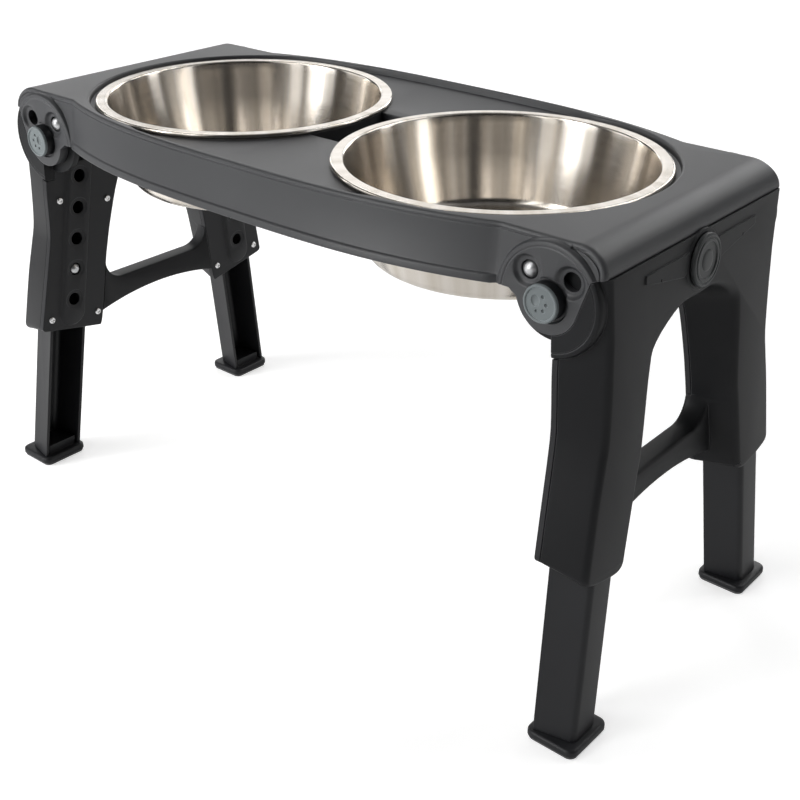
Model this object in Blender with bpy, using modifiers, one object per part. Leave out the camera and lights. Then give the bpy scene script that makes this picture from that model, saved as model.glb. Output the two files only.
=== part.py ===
"""Double dog feeder: a deck with two loose bowls on folding end frames with adjustable legs.

Units are metres and +Z is up. The origin is on the floor under the middle of the deck.
X runs along the deck, and the front is at -Y. Every corner is made once, at +X and +Y,
and copied to the other corners with its coordinates mirrored.
"""
import math

import bmesh
import bpy
from mathutils import Matrix, Vector

MM = 0.001
GAP = 0.3 * MM
WELD = 0.002 * MM
FLAT_ANGLE = 0.0005
RUN = 0.3 * MM
PAST = 1.0 * MM
FAR = 0.4
ROUND_STEPS = 20
EAR_STEPS = 28
SMALL_STEPS = 12
SCREW_STEPS = 6
BADGE_PEG_STEPS = 16

# Deck
DECK_TOP = 314.5 * MM
APRON_HEIGHT = 34.0 * MM
DECK_HALF_LENGTH = 258.0 * MM
DECK_END_HALF_WIDTH = 99.7 * MM
BOW_INSET = 70.0 * MM
BOW_DEPTH = 22.8 * MM
KINK_STEP = 0.8 * MM
KINK_LENGTH = 1.5 * MM
BOW_STEPS = 9
APRON_DRAFT = 4.0 * MM
BEAD_HEIGHT = 4.8 * MM
BEAD_PROUD = 1.8 * MM
DECK_WALL = 3.0 * MM
END_WALL = 6.0 * MM
ROLL_LENGTH = 20.0 * MM
ROLL_HEIGHT = 15.3 * MM
TRAY_DROP = 5.0 * MM
TRAY_FLOOR = 3.0 * MM
LIP_WIDTH = 4.0 * MM
LIP_BLEND = (95.0 * MM, 120.0 * MM)
SADDLE_HALF_WIDTH = 36.0 * MM
SADDLE_DEPTH = 20.0 * MM

# Bowls
BOWL_PITCH = 232.2 * MM
BOWL_RIM_RADIUS = 108.0 * MM
BOWL_RIM_WIDTH = 8.0 * MM
BOWL_RIM_HEIGHT = 3.2 * MM
BOWL_BASE_RADIUS = 87.0 * MM
BOWL_DEPTH = 63.0 * MM
BOWL_CORNER = 8.0 * MM
BOWL_WALL = 0.8 * MM
BOWL_STEPS = 36
HOLE_STEPS = 48
HOLE_LEDGE = 4.0 * MM
RECESS_MARGIN = 3.5 * MM

# Fold pivot and the round ears on it
PIVOT_INSET = 33.8 * MM
PIVOT_DROP = 34.9 * MM
EAR_RADIUS = 34.0 * MM
EAR_DRAFT = 1.5 * MM
EAR_FACE_Y = 104.0 * MM
LOBE_RADIUS = 19.5 * MM
SPLIT_INSET = 7.5 * MM
SPLIT_DROP = 17.5 * MM
LOBE_ROOT_ANGLE = 190.0
LOBE_FLAT = 6.0 * MM
KNUCKLE_RADIUS = 26.0 * MM
KNUCKLE_THICK = 5.7 * MM
PIVOT_PIN_RADIUS = 5.0 * MM
PIVOT_HEAD_RADIUS = 8.0 * MM
PIVOT_HEAD_THICK = 2.0 * MM
CAP_RADIUS = 11.3 * MM
CAP_PROUD = 6.7 * MM
CAP_RECESS_RADIUS = 13.0 * MM
CAP_RECESS_DEPTH = 2.4 * MM
CAP_DISH_RADIUS = 9.3 * MM
CAP_DISH_DEPTH = 0.7 * MM

# Lock that holds the end frame up, and the curved track behind the ear
LOCK_RADIUS = 19.4 * MM
LOCK_ANGLE = 135.0
DISH_RADIUS = 9.0 * MM
DISH_DEPTH = 1.2 * MM
EAR_SKIN = 0.8 * MM
LOCK_TRAVEL = 4.0 * MM
LOCK_BOSS_WALL = 1.2 * MM

# Spring pins
PIN_RADIUS = 4.5 * MM
PIN_HOLE_RADIUS = 4.8 * MM
PIN_TRACK_HALF = 5.2 * MM
PIN_FLANGE_RADIUS = 5.6 * MM
PIN_FLANGE_THICK = 1.4 * MM
PIN_POCKET_RADIUS = 5.8 * MM
PIN_HOLLOW_RADIUS = 3.4 * MM
PIN_HOLLOW_DEPTH = 2.4 * MM
SPRING_RADIUS = 2.6 * MM
SPRING_WIRE = 0.45 * MM
SPRING_TURNS = 2.5
SPRING_LENGTH = 5.2 * MM
SPRING_SPARE = 1.3 * MM

# End frame: faces lean inwards going up, LEAN metres in X for each metre of Z
LEAN = 0.0617
FRAME_PROUD = 0.6 * MM
FRAME_DEPTH = 33.4 * MM
FRAME_CORNER = 4.0 * MM
FRAME_CORNER_INSET = 3.0 * MM
FRAME_WALL = 1.7 * MM
PANEL_THICK = 3.4 * MM
PANEL_HEIGHT = 52.0 * MM
FRAME_SIDE_INNER = 92.7 * MM
CROSSBAR_DEPTH = 15.4 * MM
CROSSBAR_DROP = 166.5 * MM
CROSSBAR_HEIGHT = 17.0 * MM
CROSSBAR_SAG = 9.0 * MM
CROSSBAR_FILLET = 12.0 * MM
CROSSBAR_HALF = 64.0 * MM
PLATE_THICK = 4.0 * MM
PLATE_DROP = 52.5 * MM
COLUMN_PROUD = 2.5 * MM
COLUMN_HALF_WIDTH = 11.0 * MM
COLUMN_SKIN = 1.2 * MM
COLUMN_DROP = 57.5 * MM
COLUMN_BOTTOM_MARGIN = 22.0 * MM
BADGE_DROP = 32.5 * MM
BADGE_RADIUS = 16.0 * MM
BADGE_THICK = 3.0 * MM
BADGE_RING_RADIUS = 18.0 * MM
BADGE_RING_HEIGHT = 0.8 * MM
BADGE_PEG_RADIUS = 3.0 * MM
BADGE_PEG_PROUD = 2.0 * MM
WING_HEIGHT = 1.0 * MM
WING_OUTLINE = [(17, 23.5), (64, 23.5), (64, 28.8), (22, 37.1), (19, 35)]

# Outlines of the end frame, one half: millimetres from the middle and below the deck's top
ARCH_INNER = [(0, 57), (14, 59.5), (27, 68.5), (36.9, 83.5), (46.5, 115.5), (50.8, 134.5),
              (53.5, 148.5), (60.3, 192.5), (63.2, 203)]
ARCH_OUTER = [(0, 55), (22, 55.6), (47, 69), (52.2, 83.5), (55.4, 115.5), (57.6, 134.5),
              (61, 148.5), (70.5, 192.5), (72, 200.5)]
BOTTOM_INNER = [(68, 201.9), (83, 198.7), (110, 192.7)]
BOTTOM_OUTER = [(75, 205), (83, 206.5), (109, 201)]
FRONT_INNER = [(119.6, 190.6), (111.5, 151.5), (106.5, 127.5), (103.8, 109.5), (103.6, 80.5),
               (103, 67.5), (101.5, 52.5)]
FRONT_OUTER = [(115, 196.1), (106.7, 151.5), (101, 127.5), (97.2, 109.5), (96, 80.5), (96, 67.5),
               (96, 52.5)]

# Legs: a channel on a leaning line, open towards the middle of the feeder
LEG_INSET = 35.8 * MM
LEG_SPLAY = 0.145
LEG_HALF_OUTER = 12.3 * MM
LEG_HALF_INNER = 17.2 * MM
LEG_CORNER = 4.0 * MM
LEG_WALL = 2.4 * MM
LEG_CLEAR = 0.4 * MM
LEG_OVER_PIN = 23.0 * MM
TONGUE_UNDER_PIN = 19.0 * MM
HOLE_PITCH = 25.4 * MM
HOLE_COUNT = 5
STEPS_UP = 3
PIN_DEPTH = 145.5 * MM
PIN_TRAVEL = 5.0 * MM
BLOCK_HALF_HEIGHT = 11.0 * MM
FOOT_LENGTH = 36.0 * MM
FOOT_WIDTH = 40.0 * MM
FOOT_CORNER = 6.0 * MM
FOOT_THICK = 5.0 * MM
FOOT_PLUG_HEIGHT = 7.0 * MM
FOOT_PLUG_CLEAR = 0.4 * MM
SOLE_THICK = 1.8 * MM
SOLE_INSET = 1.0 * MM

# Plate screws: millimetres from the line of holes and below the deck's top
SCREW_PLACES = [(16.5, 86.4), (-29, 95.7), (19.8, 182.7), (-25.5, 189.7)]
SCREW_HEAD_RADIUS = 3.0 * MM
SCREW_HEAD_HEIGHT = 1.4 * MM
SCREW_RADIUS = 1.25 * MM
SCREW_LENGTH = 9.0 * MM
SCREW_CLEAR = 0.25 * MM

# Worked out from the sizes above
APRON_BOTTOM = DECK_TOP - APRON_HEIGHT
SEAM_Z = DECK_TOP - ROLL_HEIGHT
BOW_HALF_LENGTH = DECK_HALF_LENGTH - BOW_INSET
PIVOT_X = DECK_HALF_LENGTH - PIVOT_INSET
PIVOT_Z = DECK_TOP - PIVOT_DROP
SPLIT_CORNER = (DECK_HALF_LENGTH - SPLIT_INSET, DECK_TOP - SPLIT_DROP)
FRAME_OUTER = DECK_HALF_LENGTH + FRAME_PROUD + LEAN * DECK_TOP
FRAME_INNER = FRAME_OUTER - FRAME_DEPTH
FRAME_TOP = SEAM_Z - GAP
PANEL_BOTTOM = DECK_TOP - PANEL_HEIGHT
CROSSBAR_TOP = DECK_TOP - CROSSBAR_DROP
CROSSBAR_BOTTOM = CROSSBAR_TOP - CROSSBAR_HEIGHT
PLATE_TOP = DECK_TOP - PLATE_DROP
COLUMN_TOP = DECK_TOP - COLUMN_DROP
BADGE_Z = DECK_TOP - BADGE_DROP
LEG_Y = DECK_END_HALF_WIDTH - LEG_INSET + LEG_SPLAY * DECK_TOP
PIN_Z = DECK_TOP - PIN_DEPTH
LEG_TOP = PIN_Z + LEG_OVER_PIN
TONGUE_BOTTOM = PIN_Z - TONGUE_UNDER_PIN
TRAY_TOP = DECK_TOP - TRAY_DROP
CAVITY_TOP = TRAY_TOP - TRAY_FLOOR
SADDLE_FLOOR = TRAY_TOP - SADDLE_DEPTH
BOWL_X = BOWL_PITCH / 2
BOWL_HOLE_RADIUS = BOWL_RIM_RADIUS - HOLE_LEDGE
RECESS_RADIUS = BOWL_RIM_RADIUS + RECESS_MARGIN
DECK_INNER_Y = DECK_END_HALF_WIDTH - DECK_WALL
KNUCKLE_FACE_Y = DECK_INNER_Y - RUN
KNUCKLE_BACK_Y = KNUCKLE_FACE_Y - KNUCKLE_THICK
TRACK_DEPTH_Y = EAR_FACE_Y - DISH_DEPTH - EAR_SKIN
PLATE_BACK = FRAME_INNER + PLATE_THICK
HOUSING_INNER = PLATE_BACK + GAP
COLUMN_FACE = FRAME_INNER - COLUMN_PROUD
PIN_DROP = HOLE_PITCH / math.sqrt(1 + LEAN ** 2 + LEG_SPLAY ** 2)
SOLE_TOP = SOLE_THICK
FOOT_BOTTOM = SOLE_TOP + GAP
FOOT_TOP = FOOT_BOTTOM + FOOT_THICK
LEG_BOTTOM = FOOT_TOP + GAP
LEG_RISE = STEPS_UP * PIN_DROP
LEG_HALF_DEPTH = (FRAME_OUTER - FRAME_WALL - HOUSING_INNER) / 2 - LEG_CLEAR
LEG_X = HOUSING_INNER + LEG_CLEAR + LEG_HALF_DEPTH
PIN_POCKET = PIN_TRAVEL + SPRING_LENGTH + SPRING_SPARE
LOCK_POCKET = LOCK_TRAVEL + SPRING_LENGTH + SPRING_SPARE

SIDES = {"left": -1, "right": 1}
ENDS = {"front": -1, "rear": 1}
SCRATCH = "construction"


# Scene and mesh helpers

def clear_scene():
    for item in list(bpy.data.objects):
        bpy.data.objects.remove(item, do_unlink=True)
    for group in list(bpy.data.collections):
        bpy.data.collections.remove(group)


def make_collection(name):
    group = bpy.data.collections.new(name)
    bpy.context.scene.collection.children.link(group)
    return group


def make_material(name, colour, roughness, metallic=0.0):
    material = bpy.data.materials.new(name)
    material.use_nodes = True
    shader = material.node_tree.nodes["Principled BSDF"]
    shader.inputs["Base Color"].default_value = (*colour, 1.0)
    shader.inputs["Roughness"].default_value = roughness
    shader.inputs["Metallic"].default_value = metallic
    material.diffuse_color = (*colour, 1.0)
    return material


def scratch_object(mesh):
    item = bpy.data.objects.new("piece", mesh)
    item.hide_render = True
    item.display_type = "WIRE"
    bpy.data.collections[SCRATCH].objects.link(item)
    return item


def evaluated_mesh(item):
    graph = bpy.context.evaluated_depsgraph_get()
    graph.update()
    return bpy.data.meshes.new_from_object(item.evaluated_get(graph))


def from_bmesh(form):
    mesh = bpy.data.meshes.new("piece")
    bmesh.ops.triangulate(form, faces=form.faces)
    bmesh.ops.recalc_face_normals(form, faces=form.faces)
    form.to_mesh(mesh)
    form.free()
    return scratch_object(mesh)


def combine(item, others, operation):
    """Boolean of one object with several, then welded and triangulated.

    The exact solver drops faces of the deck and the leaning end frame, so the manifold one is used.
    """
    for other in others:
        change = item.modifiers.new("change", "BOOLEAN")
        change.operation = operation
        change.solver = "MANIFOLD"
        change.object = other
    mesh = evaluated_mesh(item)
    discard(item, *others)
    form = bmesh.new()
    form.from_mesh(mesh)
    bmesh.ops.remove_doubles(form, verts=form.verts, dist=WELD)
    bmesh.ops.dissolve_degenerate(form, edges=form.edges, dist=WELD)
    bmesh.ops.dissolve_limit(form, angle_limit=FLAT_ANGLE, verts=form.verts, edges=form.edges)
    bmesh.ops.triangulate(form, faces=form.faces)
    form.to_mesh(mesh)
    form.free()
    return scratch_object(mesh)


def cut(item, *cutters):
    return combine(item, cutters, "DIFFERENCE")


def join(item, *others):
    return combine(item, others, "UNION")


def common(item, other):
    return combine(item, [other], "INTERSECT")


def discard(*items):
    for item in items:
        bpy.data.objects.remove(item, do_unlink=True)


def box(low, high):
    form = bmesh.new()
    size = Vector(high) - Vector(low)
    middle = (Vector(high) + Vector(low)) / 2
    bmesh.ops.create_cube(form, size=1.0, matrix=Matrix.Translation(middle) @ Matrix.Diagonal((*size, 1.0)))
    return from_bmesh(form)


def axis_turn(axis):
    if axis == "X":
        return Matrix.Rotation(math.pi / 2, 4, "Y")
    if axis == "Y":
        return Matrix.Rotation(-math.pi / 2, 4, "X")
    return Matrix.Identity(4)


def round_bar(axis, centre, low, high, radius, end_radius=None, steps=ROUND_STEPS):
    form = bmesh.new()
    place = Vector(centre)
    place["XYZ".index(axis)] = (low + high) / 2
    end = radius if end_radius is None else end_radius
    bmesh.ops.create_cone(form, cap_ends=True, segments=steps, radius1=radius, radius2=end,
                          depth=high - low, matrix=Matrix.Translation(place) @ axis_turn(axis))
    return from_bmesh(form)


def outline_prism(points, low, high, plane="XY"):
    curve = bpy.data.curves.new("outline", "CURVE")
    curve.dimensions = "2D"
    curve.fill_mode = "BOTH"
    curve.extrude = (high - low) / 2
    line = curve.splines.new("POLY")
    line.points.add(len(points) - 1)
    for spot, (first, second) in zip(line.points, points):
        spot.co = (first, second, 0.0, 1.0)
    line.use_cyclic_u = True
    holder = scratch_object(curve)
    mesh = evaluated_mesh(holder)
    form = bmesh.new()
    form.from_mesh(mesh)
    bmesh.ops.remove_doubles(form, verts=form.verts, dist=1e-6)
    middle = (low + high) / 2
    places = {
        "XY": Matrix(((1, 0, 0, 0), (0, 1, 0, 0), (0, 0, 1, middle), (0, 0, 0, 1))),
        "XZ": Matrix(((1, 0, 0, 0), (0, 0, 1, middle), (0, 1, 0, 0), (0, 0, 0, 1))),
        "YZ": Matrix(((0, 0, 1, middle), (1, 0, 0, 0), (0, 1, 0, 0), (0, 0, 0, 1))),
    }
    bmesh.ops.transform(form, matrix=places[plane], verts=form.verts)
    bpy.data.objects.remove(holder, do_unlink=True)
    return from_bmesh(form)


def loft(sections):
    form = bmesh.new()
    rings = [[form.verts.new(point) for point in section] for section in sections]
    for lower, upper in zip(rings, rings[1:]):
        for index in range(len(lower)):
            following = (index + 1) % len(lower)
            form.faces.new((lower[index], lower[following], upper[following], upper[index]))
    form.faces.new(rings[0])
    form.faces.new(rings[-1])
    return from_bmesh(form)


def turned(profile, steps):
    form = bmesh.new()
    spots = [form.verts.new((radius, 0.0, height)) for radius, height in profile]
    for first, second in zip(spots, spots[1:]):
        form.edges.new((first, second))
    mesh = bpy.data.meshes.new("profile")
    form.to_mesh(mesh)
    form.free()
    item = scratch_object(mesh)
    turn = item.modifiers.new("turn", "SCREW")
    turn.steps = steps
    turn.render_steps = steps
    turn.use_merge_vertices = True
    turn.merge_threshold = 0.00001
    mesh = evaluated_mesh(item)
    discard(item)
    form = bmesh.new()
    form.from_mesh(mesh)
    return from_bmesh(form)


def arc(centre, radius, start, end, steps):
    points = []
    for index in range(steps + 1):
        angle = math.radians(start + (end - start) * index / steps)
        points.append((centre[0] + radius * math.cos(angle), centre[1] + radius * math.sin(angle)))
    return points


def rounded_rectangle(half_x, half_y, corner, steps=4):
    points = []
    for turn, (sign_x, sign_y) in enumerate([(1, 1), (-1, 1), (-1, -1), (1, -1)]):
        centre = (sign_x * (half_x - corner), sign_y * (half_y - corner))
        points += arc(centre, corner, 90 * turn, 90 * turn + 90, steps)
    return points


def shear_in_x(item):
    """Lean a piece that was made at its floor offset, so that it follows the end frame."""
    item.data.transform(Matrix(((1, 0, -LEAN, 0), (0, 1, 0, 0), (0, 0, 1, 0), (0, 0, 0, 1))))
    return item


def shear_along_leg(item):
    """Lean a piece that was made upright at the floor, so that it follows a leg's line."""
    item.data.transform(Matrix(((1, 0, -LEAN, 0), (0, 1, -LEG_SPLAY, 0), (0, 0, 1, 0), (0, 0, 0, 1))))
    return item


def finish(item, name, material, origin, sign_x=1, sign_y=1):
    """Mirror a corner piece to its own corner, put its origin on its axis and name it."""
    mesh = item.data.copy()
    mesh.transform(Matrix.Diagonal((sign_x, sign_y, 1, 1)))
    if sign_x * sign_y < 0:
        mesh.flip_normals()
    place = Vector((origin[0] * sign_x, origin[1] * sign_y, origin[2]))
    mesh.transform(Matrix.Translation(-place))
    mesh.materials.clear()
    mesh.materials.append(material)
    mesh.shade_smooth()
    mesh.set_sharp_from_angle(angle=math.radians(30))
    result = bpy.data.objects.new(name, mesh)
    result.location = place
    bpy.data.collections["double_dog_feeder"].objects.link(result)
    return result


# Deck

def bow(x):
    """Half width of the deck's top at X, between the ends of its bowed edges."""
    return DECK_END_HALF_WIDTH + KINK_STEP + BOW_DEPTH * (1 - abs(x / BOW_HALF_LENGTH) ** 3)


def deck_plan(spread, inset, end):
    """Plan outline: bowed edges widened by spread, every edge set in by inset."""
    side = []
    for index in range(-BOW_STEPS, BOW_STEPS + 1):
        x = BOW_HALF_LENGTH * index / BOW_STEPS
        side.append((x, bow(x) + spread - inset))
    corner_x = BOW_HALF_LENGTH + KINK_LENGTH
    corner_y = DECK_END_HALF_WIDTH - inset
    side = [(-end, corner_y), (-corner_x, corner_y)] + side + [(corner_x, corner_y), (end, corner_y)]
    return side + [(-x, -y) for x, y in side]


def deck_section(z, spread, inset=0.0, end=DECK_HALF_LENGTH):
    return [(x, y, z) for x, y in deck_plan(spread, inset, end)]


def split_tangent():
    """Angle at which the straight part of the split line meets the lobe."""
    reach = math.dist(SPLIT_CORNER, (PIVOT_X, PIVOT_Z))
    bearing = math.atan2(SPLIT_CORNER[1] - PIVOT_Z, SPLIT_CORNER[0] - PIVOT_X)
    return math.degrees(bearing - math.acos(LOBE_RADIUS / reach))


def cheek_outline(grow=0.0):
    """The deck's side below its top at one end, seen from the front: lobe, split line and roll."""
    pivot = (PIVOT_X, PIVOT_Z)
    lobe = arc(pivot, LOBE_RADIUS + grow, LOBE_ROOT_ANGLE, 360 + split_tangent(), 11)
    corner = (SPLIT_CORNER[0] + grow, SPLIT_CORNER[1] - grow)
    return [(BOW_HALF_LENGTH - LOBE_FLAT, APRON_BOTTOM - grow),
            (lobe[0][0] - LOBE_FLAT, APRON_BOTTOM - grow), *lobe, corner]


def roll_points(steps=5):
    points = []
    for index in range(steps + 1):
        angle = math.pi / 2 * index / steps
        x = DECK_HALF_LENGTH - ROLL_LENGTH + ROLL_LENGTH * math.cos(angle)
        points.append((x, SEAM_Z + (DECK_TOP - SEAM_Z) * math.sin(angle)))
    return points


def tray_outline():
    """Sunken area: a circle round each bowl, and the panel between the lips."""
    upper = []
    for index in range(-8, 9):
        x = LIP_BLEND[1] * index / 8
        circle = math.sqrt(RECESS_RADIUS ** 2 - (abs(x) - BOWL_X) ** 2) if abs(x) > LIP_BLEND[0] else 0.0
        panel = bow(x) - LIP_WIDTH
        share = min(max((abs(x) - LIP_BLEND[0]) / (LIP_BLEND[1] - LIP_BLEND[0]), 0.0), 1.0)
        share = share * share * (3 - 2 * share)
        upper.append((x, panel * (1 - share) + circle * share))
    start = math.degrees(math.acos((LIP_BLEND[1] - BOWL_X) / RECESS_RADIUS))
    right = arc((BOWL_X, 0.0), RECESS_RADIUS, start, -start, 20)[1:-1]
    left = [(-x, -y) for x, y in right]
    return upper + right + [(-x, -y) for x, y in upper] + left


def lock_spot(angle=LOCK_ANGLE):
    turn = math.radians(angle)
    return (PIVOT_X + LOCK_RADIUS * math.cos(turn), 0.0, PIVOT_Z + LOCK_RADIUS * math.sin(turn))


def track_outline():
    """Curved track with round ends that joins the two lock holes behind the ear."""
    pivot = (PIVOT_X, PIVOT_Z)
    points = arc(pivot, LOCK_RADIUS + PIN_TRACK_HALF, 180 - LOCK_ANGLE, LOCK_ANGLE, 7)
    for angle, start, inner in ((LOCK_ANGLE, LOCK_ANGLE, True), (180 - LOCK_ANGLE, -LOCK_ANGLE, False)):
        x, _, z = lock_spot(angle)
        points += arc((x, z), PIN_TRACK_HALF, start, start + 180, 6)[1:-1]
        if inner:
            points += arc(pivot, LOCK_RADIUS - PIN_TRACK_HALF, LOCK_ANGLE, 180 - LOCK_ANGLE, 5)
    return points


def ear_disc(start_y):
    return round_bar("Y", (PIVOT_X, 0, PIVOT_Z), start_y, EAR_FACE_Y, EAR_RADIUS, EAR_RADIUS - EAR_DRAFT,
                     EAR_STEPS)


def ear_cutters():
    """Track, lock holes with their dishes, pivot bore and cap recess of one ear."""
    low = DECK_INNER_Y - PAST
    high = EAR_FACE_Y + PAST
    pivot = (PIVOT_X, 0, PIVOT_Z)
    cutters = [outline_prism(track_outline(), low, TRACK_DEPTH_Y, "XZ")]
    for angle in (LOCK_ANGLE, 180 - LOCK_ANGLE):
        spot = lock_spot(angle)
        cutters.append(round_bar("Y", spot, low, high, PIN_HOLE_RADIUS, steps=SMALL_STEPS))
        cutters.append(round_bar("Y", spot, EAR_FACE_Y - DISH_DEPTH, high, DISH_RADIUS - MM, DISH_RADIUS + MM,
                                 SMALL_STEPS))
    cutters.append(round_bar("Y", pivot, low, high, PIVOT_PIN_RADIUS + RUN, steps=SMALL_STEPS))
    cutters.append(round_bar("Y", pivot, EAR_FACE_Y - CAP_RECESS_DEPTH, high, CAP_RECESS_RADIUS))
    return cutters


def mirrored(item, sign_x, sign_y):
    mesh = item.data.copy()
    mesh.transform(Matrix.Diagonal((sign_x, sign_y, 1, 1)))
    if sign_x * sign_y < 0:
        mesh.flip_normals()
    return scratch_object(mesh)


def at_corners(item):
    copies = [mirrored(item, sign_x, sign_y) for sign_x in SIDES.values() for sign_y in ENDS.values()]
    discard(item)
    return copies


def build_deck(material):
    """Moulded deck: bowed apron with a bead, rolled ends, sunken tray, finger recess and four ears."""
    lobe_low = PIVOT_Z - LOBE_RADIUS - 5 * MM
    bead_top = APRON_BOTTOM + BEAD_HEIGHT
    slope = APRON_DRAFT / (DECK_TOP - APRON_BOTTOM)
    blank_end = DECK_HALF_LENGTH + PAST
    blank_top = DECK_TOP + PAST
    deck = loft([
        deck_section(lobe_low, slope * (DECK_TOP - lobe_low) + BEAD_PROUD, 0.0, blank_end),
        deck_section(bead_top, slope * (DECK_TOP - bead_top) + BEAD_PROUD, 0.0, blank_end),
        deck_section(bead_top + 0.5 * MM, slope * (DECK_TOP - bead_top), 0.0, blank_end),
        deck_section(blank_top, slope * (DECK_TOP - blank_top), 0.0, blank_end),
    ])
    deck = join(deck, *at_corners(ear_disc(DECK_INNER_Y - 10 * MM)))
    half = cheek_outline() + [(DECK_HALF_LENGTH, SEAM_Z)] + roll_points()[1:]
    outline = half + [(-x, z) for x, z in reversed(half)]
    deck = common(deck, outline_prism(outline, -FAR, FAR, "XZ"))
    inner_end = DECK_HALF_LENGTH - END_WALL
    cavity_low = lobe_low - 5 * MM
    deck = cut(deck, loft([
        deck_section(cavity_low, slope * (DECK_TOP - cavity_low), DECK_WALL, inner_end),
        deck_section(CAVITY_TOP, slope * (DECK_TOP - CAVITY_TOP), DECK_WALL, inner_end),
    ]))
    saddle_y = SADDLE_HALF_WIDTH + DECK_WALL
    saddle_low = SADDLE_FLOOR - TRAY_FLOOR
    reach = BOWL_X - math.sqrt(BOWL_HOLE_RADIUS ** 2 - saddle_y ** 2) + 2 * PAST
    deck = join(deck, box((-reach, -saddle_y, saddle_low), (reach, saddle_y, CAVITY_TOP + TRAY_FLOOR / 2)))
    cutters = [outline_prism(tray_outline(), TRAY_TOP, DECK_TOP + PAST)]
    for sign_x in SIDES.values():
        centre = (sign_x * BOWL_X, 0, 0)
        cutters.append(round_bar("Z", centre, saddle_low - PAST, DECK_TOP, BOWL_HOLE_RADIUS,
                                 steps=HOLE_STEPS))
        ends = sorted((sign_x * (inner_end - PAST), sign_x * (DECK_HALF_LENGTH + PAST)))
        cutters.append(box((ends[0], -DECK_INNER_Y, lobe_low), (ends[1], DECK_INNER_Y, SEAM_Z)))
    cutters.append(box((-reach - PAST, -SADDLE_HALF_WIDTH, SADDLE_FLOOR),
                       (reach + PAST, SADDLE_HALF_WIDTH, DECK_TOP + PAST)))
    for cutter in ear_cutters():
        cutters += at_corners(cutter)
    deck = cut(deck, *cutters)
    finish(deck, "deck", material, (0, 0, 0))
    discard(deck)


# Bowls

def build_bowls(material):
    """Pressed bowls with a rolled rim that hangs on the tray round each hole."""
    rim_low = TRAY_TOP + GAP
    rim_top = rim_low + BOWL_RIM_HEIGHT
    base = rim_top - BOWL_DEPTH
    inner_rim = BOWL_RIM_RADIUS - BOWL_RIM_WIDTH
    corner = (BOWL_BASE_RADIUS - BOWL_CORNER, base + BOWL_CORNER)
    inside = arc(corner, BOWL_CORNER - BOWL_WALL, -90, 0, 3)
    outside = arc(corner, BOWL_CORNER, 0, -90, 3)
    profile = [(0.0, base + BOWL_WALL), *inside]
    profile += [(inner_rim - BOWL_WALL, rim_top - 2 * MM), (inner_rim, rim_top - 0.6 * MM)]
    profile += [(inner_rim + 1.5 * MM, rim_top), (BOWL_RIM_RADIUS - 2 * MM, rim_top)]
    profile += [(BOWL_RIM_RADIUS, rim_top - 1.6 * MM), (BOWL_RIM_RADIUS - MM, rim_low)]
    profile += [(inner_rim + 0.6 * MM, rim_low), *outside, (0.0, base)]
    bowl = turned(profile, BOWL_STEPS)
    for side, sign_x in SIDES.items():
        mesh = bowl.data.copy()
        mesh.transform(Matrix.Translation((BOWL_X * sign_x, 0, 0)))
        placed = scratch_object(mesh)
        item = finish(placed, "bowl_" + side, material, (BOWL_X * sign_x, 0, rim_low))
        item.location = (BOWL_X * sign_x, 0, rim_low)
        discard(placed)
    discard(bowl)


# End frames

def hung(points):
    """Outline points in Y and Z, from millimetres below the deck's top."""
    return [(y * MM, DECK_TOP - drop * MM) for y, drop in points]


def frame_ring(arch, bottom, front, offset, front_inset=0.0):
    """One outline of the whole end frame, on the leaning plane at this offset."""
    half = hung(arch) + hung(bottom)
    half += [(y - front_inset, z) for y, z in hung(front)]
    half.append((DECK_END_HALF_WIDTH - GAP - front_inset, FRAME_TOP))
    ring = [(-y, z) for y, z in half] + [(y, z) for y, z in reversed(half[1:])]
    return [(offset - LEAN * z, y, z) for y, z in ring]


def blend(first, second, share):
    return [tuple(a * (1 - share) + b * share for a, b in zip(one, two)) for one, two in zip(first, second)]


def frame_shell():
    share = 1 - FRAME_CORNER / (FRAME_OUTER - HOUSING_INNER)
    shell = loft([
        frame_ring(ARCH_INNER, BOTTOM_INNER, FRONT_INNER, HOUSING_INNER),
        frame_ring(blend(ARCH_INNER, ARCH_OUTER, share), blend(BOTTOM_INNER, BOTTOM_OUTER, share),
                   blend(FRONT_INNER, FRONT_OUTER, share), FRAME_OUTER - FRAME_CORNER),
        frame_ring(ARCH_OUTER, BOTTOM_OUTER, FRONT_OUTER, FRAME_OUTER, FRAME_CORNER_INSET),
    ])
    cavity = box((0.0, -FRAME_SIDE_INNER, PANEL_BOTTOM), (FRAME_OUTER - PANEL_THICK, FRAME_SIDE_INNER, FAR))
    return cut(shell, shear_in_x(cavity))


def crossbar():
    """Bar between the two leg housings, arched underneath, with filleted inner corners."""
    points = []
    for index in range(-6, 7):
        y = CROSSBAR_HALF * index / 6
        points.append((y, CROSSBAR_BOTTOM - CROSSBAR_SAG * (y / CROSSBAR_HALF) ** 2))
    rise = CROSSBAR_TOP + CROSSBAR_FILLET
    inside = 53.5 * MM
    right = arc((inside - CROSSBAR_FILLET, rise), CROSSBAR_FILLET, 0, -90, 5)
    points += [(CROSSBAR_HALF, rise), *right]
    points += [*[(-y, z) for y, z in reversed(right)], (-CROSSBAR_HALF, rise)]
    return shear_in_x(outline_prism(points, FRAME_INNER, FRAME_INNER + CROSSBAR_DEPTH, "YZ"))


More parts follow.
